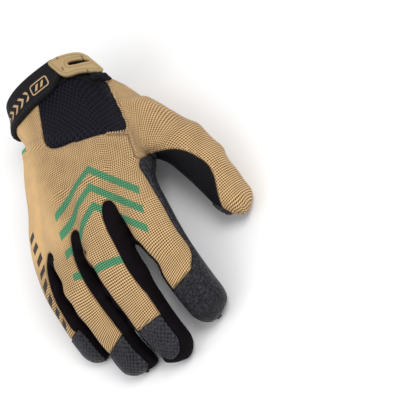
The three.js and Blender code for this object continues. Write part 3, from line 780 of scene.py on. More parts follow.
def edge_loops(cells):
    """Directed edges that only one cell has."""
    ends = []
    for k in range(4):
        a, b = cells[:, k], cells[:, (k + 1) % 4]
        b = np.where(b < 0, cells[:, 0], b)
        ends.append(np.stack([a[a >= 0], b[a >= 0]], 1))
    ends = np.concatenate(ends).tolist()
    seen = {(a, b) for a, b in ends}
    return [(a, b) for a, b in ends if (b, a) not in seen]


def grooves(spots, lines):
    """Depth at each spot of soft creases: start, end, width and depth of each."""
    depth = np.zeros(len(spots))
    for start, end, width, deep in lines:
        a, along = np.array(start, float), np.array(end, float) - np.array(start, float)
        share = ((spots - a) @ along) / (along @ along)
        nearest = a + np.clip(share, 0, 1)[:, None] * along
        off = np.linalg.norm(spots - nearest, axis=1) + 0.5 * np.sin(7 * share + a[0])
        depth += deep * smooth(1.2 - np.abs(2 * share - 1)) * np.exp(-((off / width) ** 2))
    return depth


def rough(spots, size, seed):
    shift = Vector((seed * 7.1, seed * 3.3, seed * 5.7))
    return np.array([noise.noise(Vector(spot) / size + shift) for spot in spots])


objects = {}


def to_mesh(name, spots, cells, cloths=None, edge=None):
    """A Blender mesh in metres."""
    mesh = bpy.data.meshes.new(name)
    lists = [[int(p) for p in cell if p >= 0] for cell in cells]
    mesh.from_pydata((np.asarray(spots) * 0.001).tolist(), [], lists)
    if cloths is not None:
        flat = np.concatenate([cloth[: len(cell)] for cloth, cell in zip(cloths, lists)])
        mesh.uv_layers.new(name="cloth").uv.foreach_set("vector", flat.astype(np.float32).ravel())
    if edge is not None:
        mesh.attributes.new("edge", "FLOAT", "POINT").data.foreach_set("value", np.asarray(edge, np.float32))
    mesh.polygons.foreach_set("use_smooth", np.ones(len(lists), bool))
    made = placed(name, mesh)
    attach(made, "root")
    objects[name] = made
    return made


class Panel:
    """One panel of a skin as a closed shell: outer skin turned down at its seams, inner skin and rim."""

    def __init__(self, skin, index, name, normals, height=None):
        proud, turn, groove, wall = LAYERS[name]
        self.name = name
        chosen = skin.panels == index
        cells = skin.cells[chosen]
        used = np.unique(cells[cells >= 0])
        local = np.full(len(skin.spots) + 1, -1)
        local[used] = np.arange(len(used))
        self.used, self.cloths = used, skin.cloths[chosen]
        self.cells = np.where(cells >= 0, local[cells], -1)
        self.base, self.normals = skin.spots[used], normals[used]
        self.edges = edge_loops(self.cells)
        seam = [self.base[a] for a, _ in self.edges]
        seam += [(self.base[a] + self.base[b]) / 2 for a, b in self.edges]
        tree = KDTree(len(seam))
        for i, spot in enumerate(seam):
            tree.insert(spot, i)
        tree.balance()
        self.edge = np.array([tree.find(spot)[2] for spot in self.base])
        share = np.clip(self.edge / (turn or DIP_WIDTH), 0, 1)
        dip = DIP * (1 - smooth(share))
        rise = proud * np.sqrt(1 - (1 - share) ** 2) * smooth((self.base[:, 2] - PROUD_FROM) / PROUD_OVER)
        self.outer = self.base + self.normals * (rise - dip)[:, None]
        if groove:
            pressed = PRESS * np.exp(-(((self.edge - groove) / PRESS_WIDTH) ** 2))
            self.outer -= self.normals * pressed[:, None]
        if height is not None:
            self.outer += self.normals * height(self)[:, None]
        self.inner = self.base - self.normals * wall

    def build(self, lowest=0.0):
        count = len(self.used)
        spots = np.concatenate([self.outer, self.inner])
        spots[:, 2] = np.maximum(lowest, spots[:, 2])
        flipped = self.cells[:, ::-1].copy()
        cloth_flipped = self.cloths[:, ::-1].copy()
        short = self.cells[:, 3] < 0
        flipped[short] = np.roll(flipped[short], -1, axis=1)
        cloth_flipped[short] = np.roll(cloth_flipped[short], -1, axis=1)
        flipped = np.where(flipped >= 0, flipped + count, -1)
        known = {}
        for cell, cloth in zip(self.cells, self.cloths):
            for point, spot in zip(cell, cloth):
                known[point] = spot
        rim = np.array([(b, a, a + count, b + count) for a, b in self.edges])
        rim_cloth = np.array([(known[b], known[a], known[a], known[b]) for a, b in self.edges])
        cells = np.concatenate([self.cells, flipped, rim])
        cloths = np.concatenate([self.cloths, cloth_flipped, rim_cloth])
        edge = np.concatenate([self.edge, np.full(count, FAR)])
        made = to_mesh(self.name, spots, cells, cloths, edge)
        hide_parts(self.name)
        return made

    def paths(self, keep):
        """Runs of the edge as lists of local points, of the directed edges that keep allows."""
        after = {a: b for a, b in self.edges if keep(self.used[a], self.used[b])}
        starts = [a for a in after if a not in set(after.values())]
        runs = []
        left = dict(after)
        for start in starts + sorted(after):
            if start in left:
                run = [start]
                while run[-1] in left:
                    run.append(left.pop(run[-1]))
                runs.append(run)
        return runs

    def inset(self, run, offset):
        """Points of the outer skin beside a run of the edge, with the skin's normals."""
        line = self.base[run]
        tangent = np.gradient(line, axis=0)
        tangent = np.array([tangent[max(0, i - 2) : i + 3].mean(0) for i in range(len(line))])
        inward = np.cross(self.normals[run], tangent)
        inward /= np.maximum(1e-9, np.linalg.norm(inward, axis=1))[:, None]
        if not hasattr(self, "tree"):
            polygons = [[int(p) for p in cell if p >= 0] for cell in self.cells]
            self.tree = BVHTree.FromPolygons(self.outer.tolist(), polygons)
        found = [self.tree.find_nearest(spot) for spot in line + inward * offset]
        return np.array([f[0] for f in found]), self.normals[run]


def stitch_row(line, facing, length, gap, radius, slant, sink=0.3):
    """Vertices and cells of a row of thread stitches along a line on a surface."""
    steps = np.linalg.norm(np.diff(line, axis=0), axis=1)
    along = np.concatenate([[0], np.cumsum(steps)])
    if along[-1] < length:
        return [], []

    def at(s, values):
        return np.array([np.interp(s, along, values[:, k]) for k in range(3)])

    count = int((along[-1] + gap) / (length + gap))
    sections, sides = 5, 6
    spots, cells = [], []
    for n in range(count):
        start = n * (length + gap)
        base = len(spots)
        normal = unit(at(start + length / 2, facing))
        first, last = at(start, line), at(start + length, line)
        lean = np.cross(normal, unit(last - first)) * slant
        for k in range(sections):
            share = k / (sections - 1)
            middle = at(start + share * length, line) + lean * (share - 0.5)
            thick = radius * (0.35 + 0.65 * math.sin(math.pi * share))
            middle = middle + normal * radius * (1 - sink) * (math.sin(math.pi * share) - 0.25)
            side = np.cross(normal, unit(last - first + lean))
            for j in range(sides):
                turn = 2 * math.pi * j / sides
                spots.append(middle + side * math.cos(turn) * thick + normal * math.sin(turn) * thick)
        for k in range(sections - 1):
            for j in range(sides):
                a, b = base + k * sides + j, base + k * sides + (j + 1) % sides
                cells.append((a, a + sides, b + sides, b))
        cells.append([base + j for j in range(sides)])
        cells.append([base + (sections - 1) * sides + j for j in reversed(range(sides))])
    return spots, cells


def thread(name, rows):
    """One object from several rows of stitches."""
    spots, cells = [], []
    for row_spots, row_cells in rows:
        cells += [[p + len(spots) for p in cell] for cell in row_cells]
        spots += list(row_spots)
    to_mesh(name, spots, cells)


spots, cells, panels, cloths = refine(places, quads, panel_of_face, cloth_of_face, 3)
skin = Skin(spots + ORIGIN, cells, panels, cloths)
def shifted(spots):
    flat, scale = seen(spots)
    wanted = np.zeros_like(flat)
    for x, y, right, down, reach in SHIFTS:
        wanted += bell(flat, x, y, reach)[:, None] * (right, -down)
    level = np.array([[AXES[0][0], AXES[0][1]], [AXES[1][0], AXES[1][1]]])
    moved = spots.copy()
    moved[:, :2] += wanted / scale[:, None] @ np.linalg.inv(level).T
    return moved


def soften(sheet):
    """Adds the waviness, the creases and the filled hollows along the sheet's normals."""
    normals = sheet.normals()
    flat, _ = seen(sheet.spots)
    towards = smooth(normals @ FACING * 3)
    height = sum(rise * rough(sheet.spots, size, seed) for rise, size, seed in WAVES)
    height -= grooves(flat, CREASES) * towards
    for x, y, reach, rise in FILLS:
        height += rise * bell(flat, x, y, reach) * towards
    sheet.spots += normals * height[:, None]
    sheet.spots[:, 2] = np.maximum(0, sheet.spots[:, 2])


skin.spots = shifted(skin.spots)
soften(skin)

# Which finger each spot is nearest to, from the little finger's 0 to the thumb's 4.
bones = [[digit.frame(s)[0] for s in np.linspace(12, digit.length, 14)] for digit in (*digits, thumb)]
nearest_bone = np.stack([
    np.min([np.linalg.norm(skin.spots - ORIGIN - spot, axis=1) for spot in line], axis=0) for line in bones
])
finger = nearest_bone.argmin(0)
flat, _ = seen(skin.spots)
normals = skin.normals()
facing = normals @ FACING
toward = SHARP * facing
from_rim = np.zeros(len(skin.spots))
for cell, cloth in zip(skin.cells, skin.cloths):
    from_rim[cell] = cloth[:, 1]


def claim(losers, winner, value, scope=None):
    """Gives the winning panel what the losing ones have where value is below zero."""
    skin.cut(value, [PANELS.index(name) for name in losers], PANELS.index(winner), None, scope)


# Distance from the rim where the cuff's band ends: none on the thumb side, further on the underside.
right, down = flat.T
cuff_edge = mix(BAND_DEPTH, BAND_COVERED, smooth((right - COVERED_FROM) / COVERED_OVER))
cuff_edge += UNDER_DEPTH * smooth((UNDER_HEIGHT - skin.spots[:, 2]) / UNDER_HEIGHT)
cuff_edge -= CORNER_CUT * smooth((down - CORNER_FROM) / CORNER_OVER) * (right < CORNER_RIGHT)
claim(["cuff_band"], "back_panel", cuff_edge - from_rim)
mesh_window = np.maximum(outlined(flat, MESH_WINDOW), -toward)
claim(["back_panel", "thumb_back"], "wrist_mesh", mesh_window, down < MESH_BOTTOM)
claim(["wrist_mesh"], "thumb_back", np.maximum(-outlined(flat, MESH_WINDOW), THUMB_LEFT - right))
claim(["wrist_mesh"], "back_panel", -mesh_window)
claim(["back_panel"], "thumb_back", np.maximum(THUMB_LEFT - right, down - KNIT_BOTTOM), from_rim < RIM_REACH)
for name, (order, start, end, furthest) in CAP_SEAMS.items():
    along = unit(np.subtract(end, start))
    past = (flat - start) @ np.array([-along[1], along[0]])
    near = (finger == order) & (np.linalg.norm(flat - np.add(start, end) / 2, axis=1) < CAP_REACH)
    claim(["back_panel"], name, -past, near)
    claim([name], "back_panel", np.maximum(past, right - furthest), near & (facing > 0))
for order, (name, (join, corners)) in enumerate(WEB_TOPS.items()):
    shape = outlined(flat, corners)
    strip = np.maximum(shape, -toward)
    claim(["back_panel"], name, strip, (finger == order) | (finger == order + 1) & (down < join))
    claim([name], "back_panel", -np.minimum(shape, toward), (down < join) & (facing > -0.2))
for cap, web in zip(CAPS, WEBS):
    limit = -0.5 * SHARP if cap == "pinky_cap" else 0.1 * SHARP
    claim([cap], web, -np.maximum(outlined(flat, CAP_OUTLINES[cap]), limit - toward))
tan_thumb = outlined(flat, THUMB_BACK)
claim(["thumb_inner"], "thumb_back", np.maximum(tan_thumb, -toward))
thumb_end = (right > THUMB_END[0]) & (down > THUMB_END[1])
claim(["thumb_back"], "thumb_inner", -np.minimum(tan_thumb, toward), thumb_end)
shape = outlined(flat, GUARD)
guard = np.maximum(shape, -toward)
claim(["thumb_inner", "thumb_back", "back_panel"], "index_guard", guard, down < GUARD_BOTTOM)
claim(["index_guard"], "back_panel", -np.minimum(shape, toward), (down < GUARD_BOTTOM) & (facing > -0.2))
for order, name in enumerate((*WEBS, "index_guard")):
    reach = np.linalg.norm(skin.spots - ORIGIN - digits[order].frame(digits[order].length - 3)[0], axis=1)
    claim(["palm_panel"], name, -SHARP * (facing + 0.12), (finger == order) & (reach < TIP_REACH))

owner = {}
for cell, panel in zip(skin.cells, skin.panels):
    ring = [p for p in cell if p >= 0]
    for k, a in enumerate(ring):
        owner[a, ring[(k + 1) % len(ring)]] = PANELS[panel]

def bulging(shell):
    spot, _ = seen(shell.base)
    height = np.zeros(len(spot))
    for x, y, reach, rise in BULGES[shell.name]:
        height = np.maximum(height, rise * bell(spot, x, y, reach))
    return height * smooth(shell.edge / 4)


shells = {}


def add_shell(name, sheet, index, normals, height=None):
    shells[name] = Panel(sheet, index, name, normals, height)
    shells[name].build()


for index, name in enumerate(PANELS):
    add_shell(name, skin, index, normals, bulging if name in BULGES else None)


def seam(panel, neighbours, offset, *stitch):
    """Rows of stitches along a panel's seams with its neighbours, or all round it where none are named."""
    shell = shells[panel]
    runs = shell.paths(lambda a, b: neighbours is None or owner.get((b, a)) in neighbours)
    return [stitch_row(*shell.inset(run, offset), *stitch) for run in runs if len(run) > 8]


# Strap and pull tab over the cuff, on a grid of columns and distances from the cuff's edge.
def cuff_point(column, inset):
    low = math.floor(column)
    share = column - low
    weights = [
        ((2 - share) * share - 1) * share / 2,
        (share * share * (3 * share - 5) + 2) / 2,
        ((4 - 3 * share) * share + 1) * share / 2,
        (share - 1) * share * share / 2,
    ]
    rows = []
    for row in (0, CUFF_ROWS):
        ring = palm_rows[row]
        rows.append(sum(w * places[ring[(low - 1 + k) % COLUMNS]] for k, w in enumerate(weights)))
    edge, inner = rows
    depth = inset / (edge[1] - inner[1])
    spot = mix(edge, inner, depth)
    spot[1] = edge[1] - inset
    return spot


def over_cuff(start, end, low, high, step, lift, outlines, index):
    """A sheet lifted over the cuff between two columns, cut to outlines that are given the sheet's spots and
    their distances along and across; and whether the panel lies inside each."""
    fine = np.linspace(start, end, 400)
    line = np.array([cuff_point(column, (low + high) / 2) for column in fine])
    run = np.concatenate([[0], np.cumsum(np.linalg.norm(np.diff(line, axis=0), axis=1))])
    along = np.linspace(0, run[-1], int(run[-1] / step) + 1)
    wide = np.linspace(low, high, int((high - low) / step) + 1)
    grid = np.array([[cuff_point(np.interp(s, run, fine), t) for t in wide] for s in along])
    reach = int(4 / step)
    for _ in range(2):
        wider = np.concatenate([grid[:1]] * reach + [grid] + [grid[-1:]] * reach)
        means = np.array([wider[i : i + 2 * reach + 1].mean(0) for i in range(len(grid))])
        grid[reach:-reach] = means[reach:-reach]
    rows, columns = len(along), len(wide)
    cells, cloths = [], []
    for i in range(rows - 1):
        for k in range(columns - 1):
            ends = [(i, k), (i, k + 1), (i + 1, k + 1), (i + 1, k)]
            cells.append([a * columns + b for a, b in ends])
            cloths.append([(along[a], wide[b]) for a, b in ends])
    spots = shifted(grid.reshape(-1, 3) + ORIGIN)
    sheet = Skin(spots, np.array(cells), np.full(len(cells), -1), np.array(cloths))
    sheet.spots += sheet.normals() * lift
    flat = np.array([(s, t) for s in along for t in wide])
    for shape, inside in outlines(sheet.spots, flat, lambda column: np.interp(column, fine, run)):
        sheet.cut(shape, [-1] if inside else [index], index if inside else None, None if inside else -2)
    return sheet


def strap_outline(spots, flat, at):
    end = at(STRAP_END)
    corners = [
        (0.2, STRAP_LOW, 1), (end, STRAP_LOW, 1), (end, 13, 1),
        (at(11.6), STRAP_HIGH, 4), (at(1), STRAP_HIGH, 8), (0.2, 10.5, 1),
    ]
    return [(outlined(flat, corners), True)]


def tab_outline(spots, flat, at):
    picture, _ = seen(spots)
    return [(outlined(picture, TAB_OUTLINE), True), (-outlined(picture, TAB_SLOT), False)]


lift = STRAP_CLEARANCE + 2.2
strap_skin = over_cuff(-4.6, STRAP_END, STRAP_LOW, STRAP_HIGH, 0.85, lift, strap_outline, STRAP)
add_shell("wrist_strap", strap_skin, STRAP, strap_skin.normals())


def moulding(shell):
    """Raised rims round the tab's outline and slot, with a groove inside them."""
    rim = np.exp(-(((shell.edge - 0.8) / 0.4) ** 2))
    line = np.exp(-(((shell.edge - 1.9) / 0.3) ** 2))
    return 0.22 * rim - 0.3 * line


tab_skin = over_cuff(12.2, 20.4, -9, 19.5, 0.42, STRAP_CLEARANCE + 4.2, tab_outline, TAB)
add_shell("pull_tab", tab_skin, TAB, tab_skin.normals(), moulding)


def add_tuck():
    """A rippled roll of cuff fabric through the places in TUCK."""
    line = shifted(np.array([cuff_point(column, inset) for column, inset, _, _ in TUCK]) + ORIGIN)
    line[:, 2] += [lift for _, _, lift, _ in TUCK]
    line[:, 0] += TUCK_ASIDE
    last, sides = TUCK_RINGS - 1, TUCK_SIDES
    known, wanted = np.linspace(0, 1, len(TUCK)), np.linspace(0, 1, TUCK_RINGS)
    core = np.array([np.interp(wanted, known, line[:, k]) for k in range(3)]).T
    girth = np.interp(wanted, known, [radius for *_, radius in TUCK])
    spots, cells = [], []
    for i, (spot, radius) in enumerate(zip(core, girth)):
        along = unit(core[min(i + 1, last)] - core[max(i - 1, 0)])
        side = unit(np.cross(along, (0, 0, 1)))
        lifted = np.cross(side, along)
        for j in range(sides):
            angle = 2 * math.pi * j / sides
            ripple = 1 + 0.13 * math.cos(4 * angle + i * 0.42)
            spots.append(spot + (side * math.cos(angle) + lifted * math.sin(angle) * 0.8) * radius * ripple)
    for i in range(last):
        for j in range(sides):
            a, b = i * sides + j, i * sides + (j + 1) % sides
            cells.append((a, b, b + sides, a + sides))
    cells += [list(reversed(range(sides))), [last * sides + j for j in range(sides)]]
    cloths = [[(p % sides, p // sides) for p in cell] for cell in cells]
    to_mesh("cuff_tuck", spots, cells, cloths, np.full(len(spots), FAR))


add_tuck()
for name, kinds in STITCHES.items():
    thread(name, [row for kind in kinds for row in seam(*kind)])


class Finish:
    """A material built of nodes on the cloth's own millimetre coordinates."""

    def __init__(self, name, roughness, **sockets):
        self.material = bpy.data.materials.new(name)
        self.material.use_nodes = True
        self.nodes, self.links = self.material.node_tree.nodes, self.material.node_tree.links
        self.shader = self.nodes["Principled BSDF"]
        self.shader.inputs["Roughness"].default_value = roughness
        for socket, value in sockets.items():
            self.shader.inputs[socket.replace("_", " ")].default_value = value

    def node(self, kind, *inputs, **settings):
        made = self.nodes.new("ShaderNode" + kind)
        for setting, value in settings.items():
            setattr(made, setting, value)
        for socket, value in enumerate(inputs):
            self.feed(made.inputs[socket], value)
        return made

    def feed(self, socket, value):
        if isinstance(value, bpy.types.NodeSocket):
            self.links.new(value, socket)
        elif value is not None:
            socket.default_value = value

    def math(self, operation, *values, clamp=False):
        return self.node("Math", *values, operation=operation, use_clamp=clamp).outputs[0]

    def plus(self, *values, clamp=False):
        return self.math("ADD", *values, clamp=clamp)

    def minus(self, *values):
        return self.math("SUBTRACT", *values)

    def times(self, *values):
        return self.math("MULTIPLY", *values)

    def scaled(self, value, factor, shift):
        return self.math("MULTIPLY_ADD", value, factor, shift)

    def length(self, across, along):
        return self.math("SQRT", self.plus(self.times(across, across), self.times(along, along)))

    def cloth(self):
        found = self.node("UVMap", uv_map="cloth").outputs[0]
        split = self.node("SeparateXYZ", found)
        return split.outputs[0], split.outputs[1], found

    def place(self):
        split = self.node("SeparateXYZ", self.node("TexCoord").outputs["Object"])
        return [self.times(split.outputs[k], 1000.0) for k in range(3)]

    def edge(self):
        return self.node("Attribute", attribute_name="edge").outputs["Fac"]

    def wave(self, value, period, shift=0.0):
        """From 0 to 1 and back once in a period."""
        turn = self.scaled(value, 2 * math.pi / period, shift)
        return self.scaled(self.math("COSINE", turn), 0.5, 0.5)

    def ramp(self, value, low, high, start=0.0, end=1.0):
        made = self.node("MapRange", value, low, high, start, end, interpolation_type="SMOOTHSTEP")
        return made.outputs[0]

    def noise(self, vector, scale, detail=2.0, roughness=0.5):
        made = self.node("TexNoise")
        self.feed(made.inputs["Vector"], vector)
        made.inputs["Scale"].default_value = scale
        made.inputs["Detail"].default_value = detail
        made.inputs["Roughness"].default_value = roughness
        return made.outputs["Fac"]

    def cells(self, vector, scale, feature="F1", randomness=1.0):
        made = self.node("TexVoronoi", feature=feature)
        self.feed(made.inputs["Vector"], vector)
        made.inputs["Scale"].default_value = scale
        made.inputs["Randomness"].default_value = randomness
        return made.outputs["Distance"]

    def blend(self, share, first, second):
        made = self.node("Mix", data_type="RGBA")
        self.feed(made.inputs["Factor"], share)
        for socket, value in zip((made.inputs[6], made.inputs[7]), (first, second)):
            self.feed(socket, (*value, 1) if isinstance(value, tuple) else value)
        return made.outputs[2]

    def colour(self, value):
        self.feed(self.shader.inputs["Base Color"], (*value, 1) if isinstance(value, tuple) else value)

    def bump(self, height, depth, strength=1.0):
        made = self.node("Bump")
        made.inputs["Strength"].default_value = strength
        made.inputs["Distance"].default_value = depth * 0.001
        self.feed(made.inputs["Height"], height)
        self.links.new(made.outputs[0], self.shader.inputs["Normal"])

    def rough(self, value, low, high):
        self.feed(self.shader.inputs["Roughness"], self.ramp(value, 0.0, 1.0, low, high))


def knit():
    """Tan knit: fine ribs and columns with darker gaps, flatter towards the wrist's little side."""
    f = Finish("tan_knit", 0.85, Sheen_Weight=0.08, Sheen_Roughness=0.5, Specular_IOR_Level=0.2)
    u, v, cloth = f.cloth()
    x, y, z = f.place()
    wander = f.scaled(f.noise(cloth, 0.07), 1.0, -0.5)
    ribs = f.wave(f.plus(v, wander), 1.22)
    columns = f.wave(f.plus(u, wander), 1.27)
    height = f.plus(f.times(ribs, 0.56), f.times(columns, 0.44))
    little_side = f.times(f.ramp(x, 6.0, -24.0), f.ramp(y, -105.0, -66.0))
    flat = f.math("MAXIMUM", little_side, f.ramp(y, -80.0, -10.0, 0.0, 0.55))
    sharp = f.ramp(height, 0.2, 0.78)
    shade = f.plus(f.times(sharp, f.scaled(flat, -0.82, 1.0)), f.times(f.math("POWER", flat, 2.0), 0.68))
    mottle = f.scaled(f.noise(cloth, 0.12, 3.0), 0.26, -0.13)
    tone = f.plus(shade, mottle, clamp=True)
    base = f.blend(tone, (0.075, 0.036, 0.014), (0.77, 0.508, 0.243))
    # Darker within 1.3 mm of the seams: painted shade in the seams, with some wear.
    wear_and_painted_light = f.blend(f.ramp(f.edge(), 1.3, 0.0, 0.0, 0.6), base, (0.16, 0.09, 0.04))
    printed = f.blend(hand_motif(f, x, y, z), wear_and_painted_light, f.blend(tone, (0.025, 0.09, 0.045), (0.11, 0.36, 0.18)))
    bars = finger_motif(f, u, v, x)
    f.colour(f.blend(bars, printed, f.blend(tone, (0.02, 0.016, 0.014), (0.07, 0.056, 0.048))))
    f.bump(shade, 0.26)
    return f.material


def band(f, value, middle, half, blur=0.25):
    """1 where value is within half of middle."""
    off = f.math("ABSOLUTE", f.minus(value, middle))
    return f.ramp(off, half + blur, half - blur)


def hand_motif(f, x, y, z):
    """Nested green chevrons over the knuckles with a bar across the fingers, and a tick at the wrist."""
    x0, y0 = f.minus(x, 10.0), f.plus(y, 77.0)
    s = f.minus(f.times(x0, 0.966), f.times(y0, 0.259))
    t = f.plus(f.times(x0, 0.259), f.times(y0, 0.966))
    side = f.math("ABSOLUTE", s)
    fold = f.scaled(side, 0.75, t)
    total = f.times(band(f, t, -27.0, 2.2), f.times(f.ramp(s, -25.3, -24.7), f.ramp(s, 14.3, 13.7)))
    for middle in (28.0, 17.0, 6.0):
        shape = f.times(band(f, fold, middle, 2.4), f.ramp(side, 27.3, 26.7))
        total = f.math("MAXIMUM", total, shape)
    tick = f.times(band(f, x, -21.0, 2.4), band(f, f.scaled(x, 0.4, y), -15.5, 1.6))
    return f.times(f.math("MAXIMUM", total, tick), f.ramp(z, 18.0, 22.0))


def finger_motif(f, u, v, x):
    """Dark slanted bars down the outer side of the little finger."""
    across = f.plus(u, f.ramp(v, 103.0, 139.0, 40.0, 46.8))
    slanted = f.scaled(across, 0.55, v)
    bars = f.ramp(f.wave(slanted, 7.4), 0.4, 0.5)
    run = f.times(f.ramp(v, 92.0, 92.5), f.ramp(v, 152.5, 152.0))
    shape = f.times(f.times(band(f, across, 0.0, 2.7), bars), run)
    return f.times(shape, f.ramp(x, -30.0, -32.0))


def mesh_fabric():
    """Black spacer mesh with staggered dimples."""
    f = Finish("wrist_mesh_fabric", 0.6, IOR=1.2)
    u, v, cloth = f.cloth()
    across, along = f.math("DIVIDE", u, 3.0), f.math("DIVIDE", v, 2.3)
    row = f.math("FLOOR", along)
    shift = f.times(f.math("MODULO", f.math("ABSOLUTE", row), 2.0), 0.5)
    du = f.times(f.minus(f.math("FRACT", f.plus(across, shift)), 0.5), 1.25)
    dv = f.minus(f.math("FRACT", along), 0.5)
    off = f.length(du, dv)
    height = f.ramp(off, 0.3, 0.52)
    threads = f.times(f.wave(v, 0.55), 0.18)
    surface = f.plus(height, threads)
    tone = f.plus(f.times(surface, 0.75), f.times(f.noise(cloth, 0.2), 0.25))
    f.colour(f.blend(tone, (0.0005, 0.0005, 0.0012), (0.013, 0.0118, 0.021)))
    f.bump(surface, 0.8)
    return f.material


def leather(name, woven):
    """Dark synthetic leather, paler on its edges from wear and from a painted highlight, with paler specks
    that are partly scuff marks and partly painted glints: pebbled grain, or a basket weave under it.
    """
    f = Finish(name, 0.45, Specular_IOR_Level=0.18)
    u, v, cloth = f.cloth()
    grain = f.cells(cloth, 0.95)
    fine = f.noise(cloth, 1.4, 4.0, 0.65)
    cross, along = f.wave(f.plus(u, v), 2.6), f.wave(f.minus(u, v), 2.6)
    weave = f.times(f.times(cross, along), woven)
    surface = f.plus(f.times(grain, 0.55), f.plus(f.times(fine, 0.55), weave))
    scuffs_and_glints = f.ramp(f.noise(cloth, 0.55, 4.0, 0.7), 0.52, 0.72)
    tone = f.plus(f.ramp(surface, 0.3, 0.95), f.scaled(f.noise(cloth, 0.16), 0.5, -0.25), clamp=True)
    base = f.blend(tone, (0.0015, 0.0015, 0.0026), (0.036, 0.034, 0.043))
    # Paler within 2.6 mm of the edges where the scuff mask is high: partly wear, partly a painted highlight
    # along the edges.
    wear_and_painted_light = f.blend(f.times(f.ramp(f.edge(), 2.6, 0.6), scuffs_and_glints), base, (0.085, 0.082, 0.095))
    # Paler specks all over: partly scuff marks, partly painted glints.
    wear_and_painted_light = f.blend(f.times(scuffs_and_glints, 0.2), wear_and_painted_light, (0.05, 0.048, 0.06))
    f.colour(f.blend(f.ramp(f.edge(), 0.5, 0.0), wear_and_painted_light, (0.005, 0.005, 0.006)))
    f.rough(surface, 0.55, 0.32)
    f.bump(surface, 0.5)
    return f.material


def grip():
    """Black palm fabric with slanted fine ribs."""
    f = Finish("grip_fabric", 0.6, IOR=1.2)
    u, v, cloth = f.cloth()
    ribs = f.wave(f.plus(u, f.times(v, 0.6)), 1.7)
    dots = f.times(ribs, f.wave(f.minus(v, f.times(u, 0.35)), 1.5))
    surface = f.plus(f.times(ribs, 0.45), f.times(dots, 0.55))
    cloud = f.scaled(f.noise(cloth, 0.1, 3.0), 0.5, -0.25)
    base = f.blend(f.plus(surface, cloud, clamp=True), (0.001, 0.001, 0.0016), (0.009, 0.0085, 0.0118))
    f.colour(f.blend(f.ramp(f.edge(), 1.6, 0.0), base, (0.006, 0.006, 0.007)))
    f.rough(surface, 0.7, 0.48)
    f.bump(surface, 0.3)
    return f.material


def side_fabric():
    """Brownish black plain stretch fabric."""
    f = Finish("side_stretch_fabric", 0.85, IOR=1.15)
    u, v, cloth = f.cloth()
    surface = f.times(f.scaled(f.wave(u, 0.9), 0.5, 0.5), f.wave(v, 0.8))
    cloud = f.scaled(f.noise(cloth, 0.15, 3.0), 0.8, -0.1)
    base = f.blend(f.times(f.plus(surface, cloud), 0.7), (0.0015, 0.001, 0.0014), (0.0105, 0.0072, 0.0095))
    # Darker within 1.2 mm of the seams: painted shade in the seams.
    f.colour(f.blend(f.ramp(f.edge(), 1.2, 0.0, 0.0, 0.6), base, (0.004, 0.0035, 0.004)))
    f.bump(surface, 0.16)
    return f.material


def webbing(motif):
    """Black woven band with a herringbone; motif adds the printed marks."""
    f = Finish("strap_webbing" if motif else "cuff_fabric", 0.75, Sheen_Weight=0.03, Specular_IOR_Level=0.12)
    u, v, cloth = f.cloth()
    zig = f.math("ABSOLUTE", f.minus(f.math("FRACT", f.math("DIVIDE", v, 3.4)), 0.5))
    surface = f.wave(f.plus(u, f.times(zig, 3.4)), 1.1)
    cloud = f.noise(cloth, 0.2, 3.0)
    tone = f.plus(f.times(surface, 0.6), f.times(cloud, 0.4))
    base = f.blend(tone, (0.002, 0.002, 0.003), (0.012, 0.011, 0.0145))
    if motif:
        tan = f.blend(surface, (0.42, 0.28, 0.14), (0.62, 0.43, 0.24))
        base = f.blend(strap_motif(f, u, v), base, tan)
    f.colour(base)
    f.bump(surface, 0.2)
    return f.material


def strap_motif(f, u, v):
    """A row of tan chevrons, and an outlined plate with two bars next to the tab."""
    across = f.minus(v, 10.5)
    side = f.math("ABSOLUTE", across)
    fold = f.math("DIVIDE", f.scaled(side, 0.9, u), 5.6)
    stripes = f.math("ABSOLUTE", f.minus(f.math("FRACT", fold), 0.5))
    chevrons = f.times(f.ramp(stripes, 0.2, 0.16), f.ramp(side, 3.5, 3.3))
    run = f.times(f.ramp(u, 24.8, 25.0), f.ramp(u, 63.7, 63.5))
    middle = f.minus(u, 72.6)
    du = f.math("MAXIMUM", f.minus(f.math("ABSOLUTE", middle), 4.6), 0.0)
    dv = f.math("MAXIMUM", f.minus(side, 1.9), 0.0)
    off = f.length(du, dv)
    plate = band(f, off, 1.5, 0.4, 0.15)
    leaning = f.math("ABSOLUTE", f.scaled(across, 0.6, middle))
    bars = f.times(band(f, across, 0.0, 1.8, 0.15), band(f, leaning, 2.0, 0.9, 0.15))
    return f.math("MAXIMUM", f.times(chevrons, run), f.math("MAXIMUM", plate, bars))


def tab_rubber():
    """Moulded tan rubber with notch lines by the slot."""
    f = Finish("tab_rubber", 0.5, Specular_IOR_Level=0.4)
    u, v, cloth = f.cloth()
    grain = f.noise(cloth, 1.2, 3.0, 0.6)
    lines = f.ramp(f.wave(u, 15.0, 2.2), 0.985, 0.995)
    notch = f.times(lines, band(f, f.math("ABSOLUTE", f.minus(v, 7.0)), 4.6, 1.3, 0.15))
    tone = f.plus(f.times(grain, 0.5), f.times(f.noise(cloth, 0.15), 0.5))
    base = f.blend(tone, (0.33, 0.225, 0.1), (0.45, 0.325, 0.165))
    # Darker band in the moulded groove 1.9 mm inside the edge: painted shade.
    groove_shade = f.blend(band(f, f.edge(), 1.9, 0.3, 0.3), base, (0.3, 0.19, 0.08))
    # The notch lines are darker: painted shade in the notch grooves.
    f.colour(f.blend(notch, groove_shade, (0.2, 0.12, 0.05)))
    f.bump(f.minus(f.times(grain, 0.3), notch), 0.25)
    return f.material


def yarn(name, dark, light):
    f = Finish(name, 0.6, Sheen_Weight=0.05, Specular_IOR_Level=0.2)
    place = f.node("TexCoord").outputs["Object"]
    twist = f.noise(place, 900.0, 1.0)
    f.colour(f.blend(twist, dark, light))
    f.bump(twist, 0.08)
    return f.material


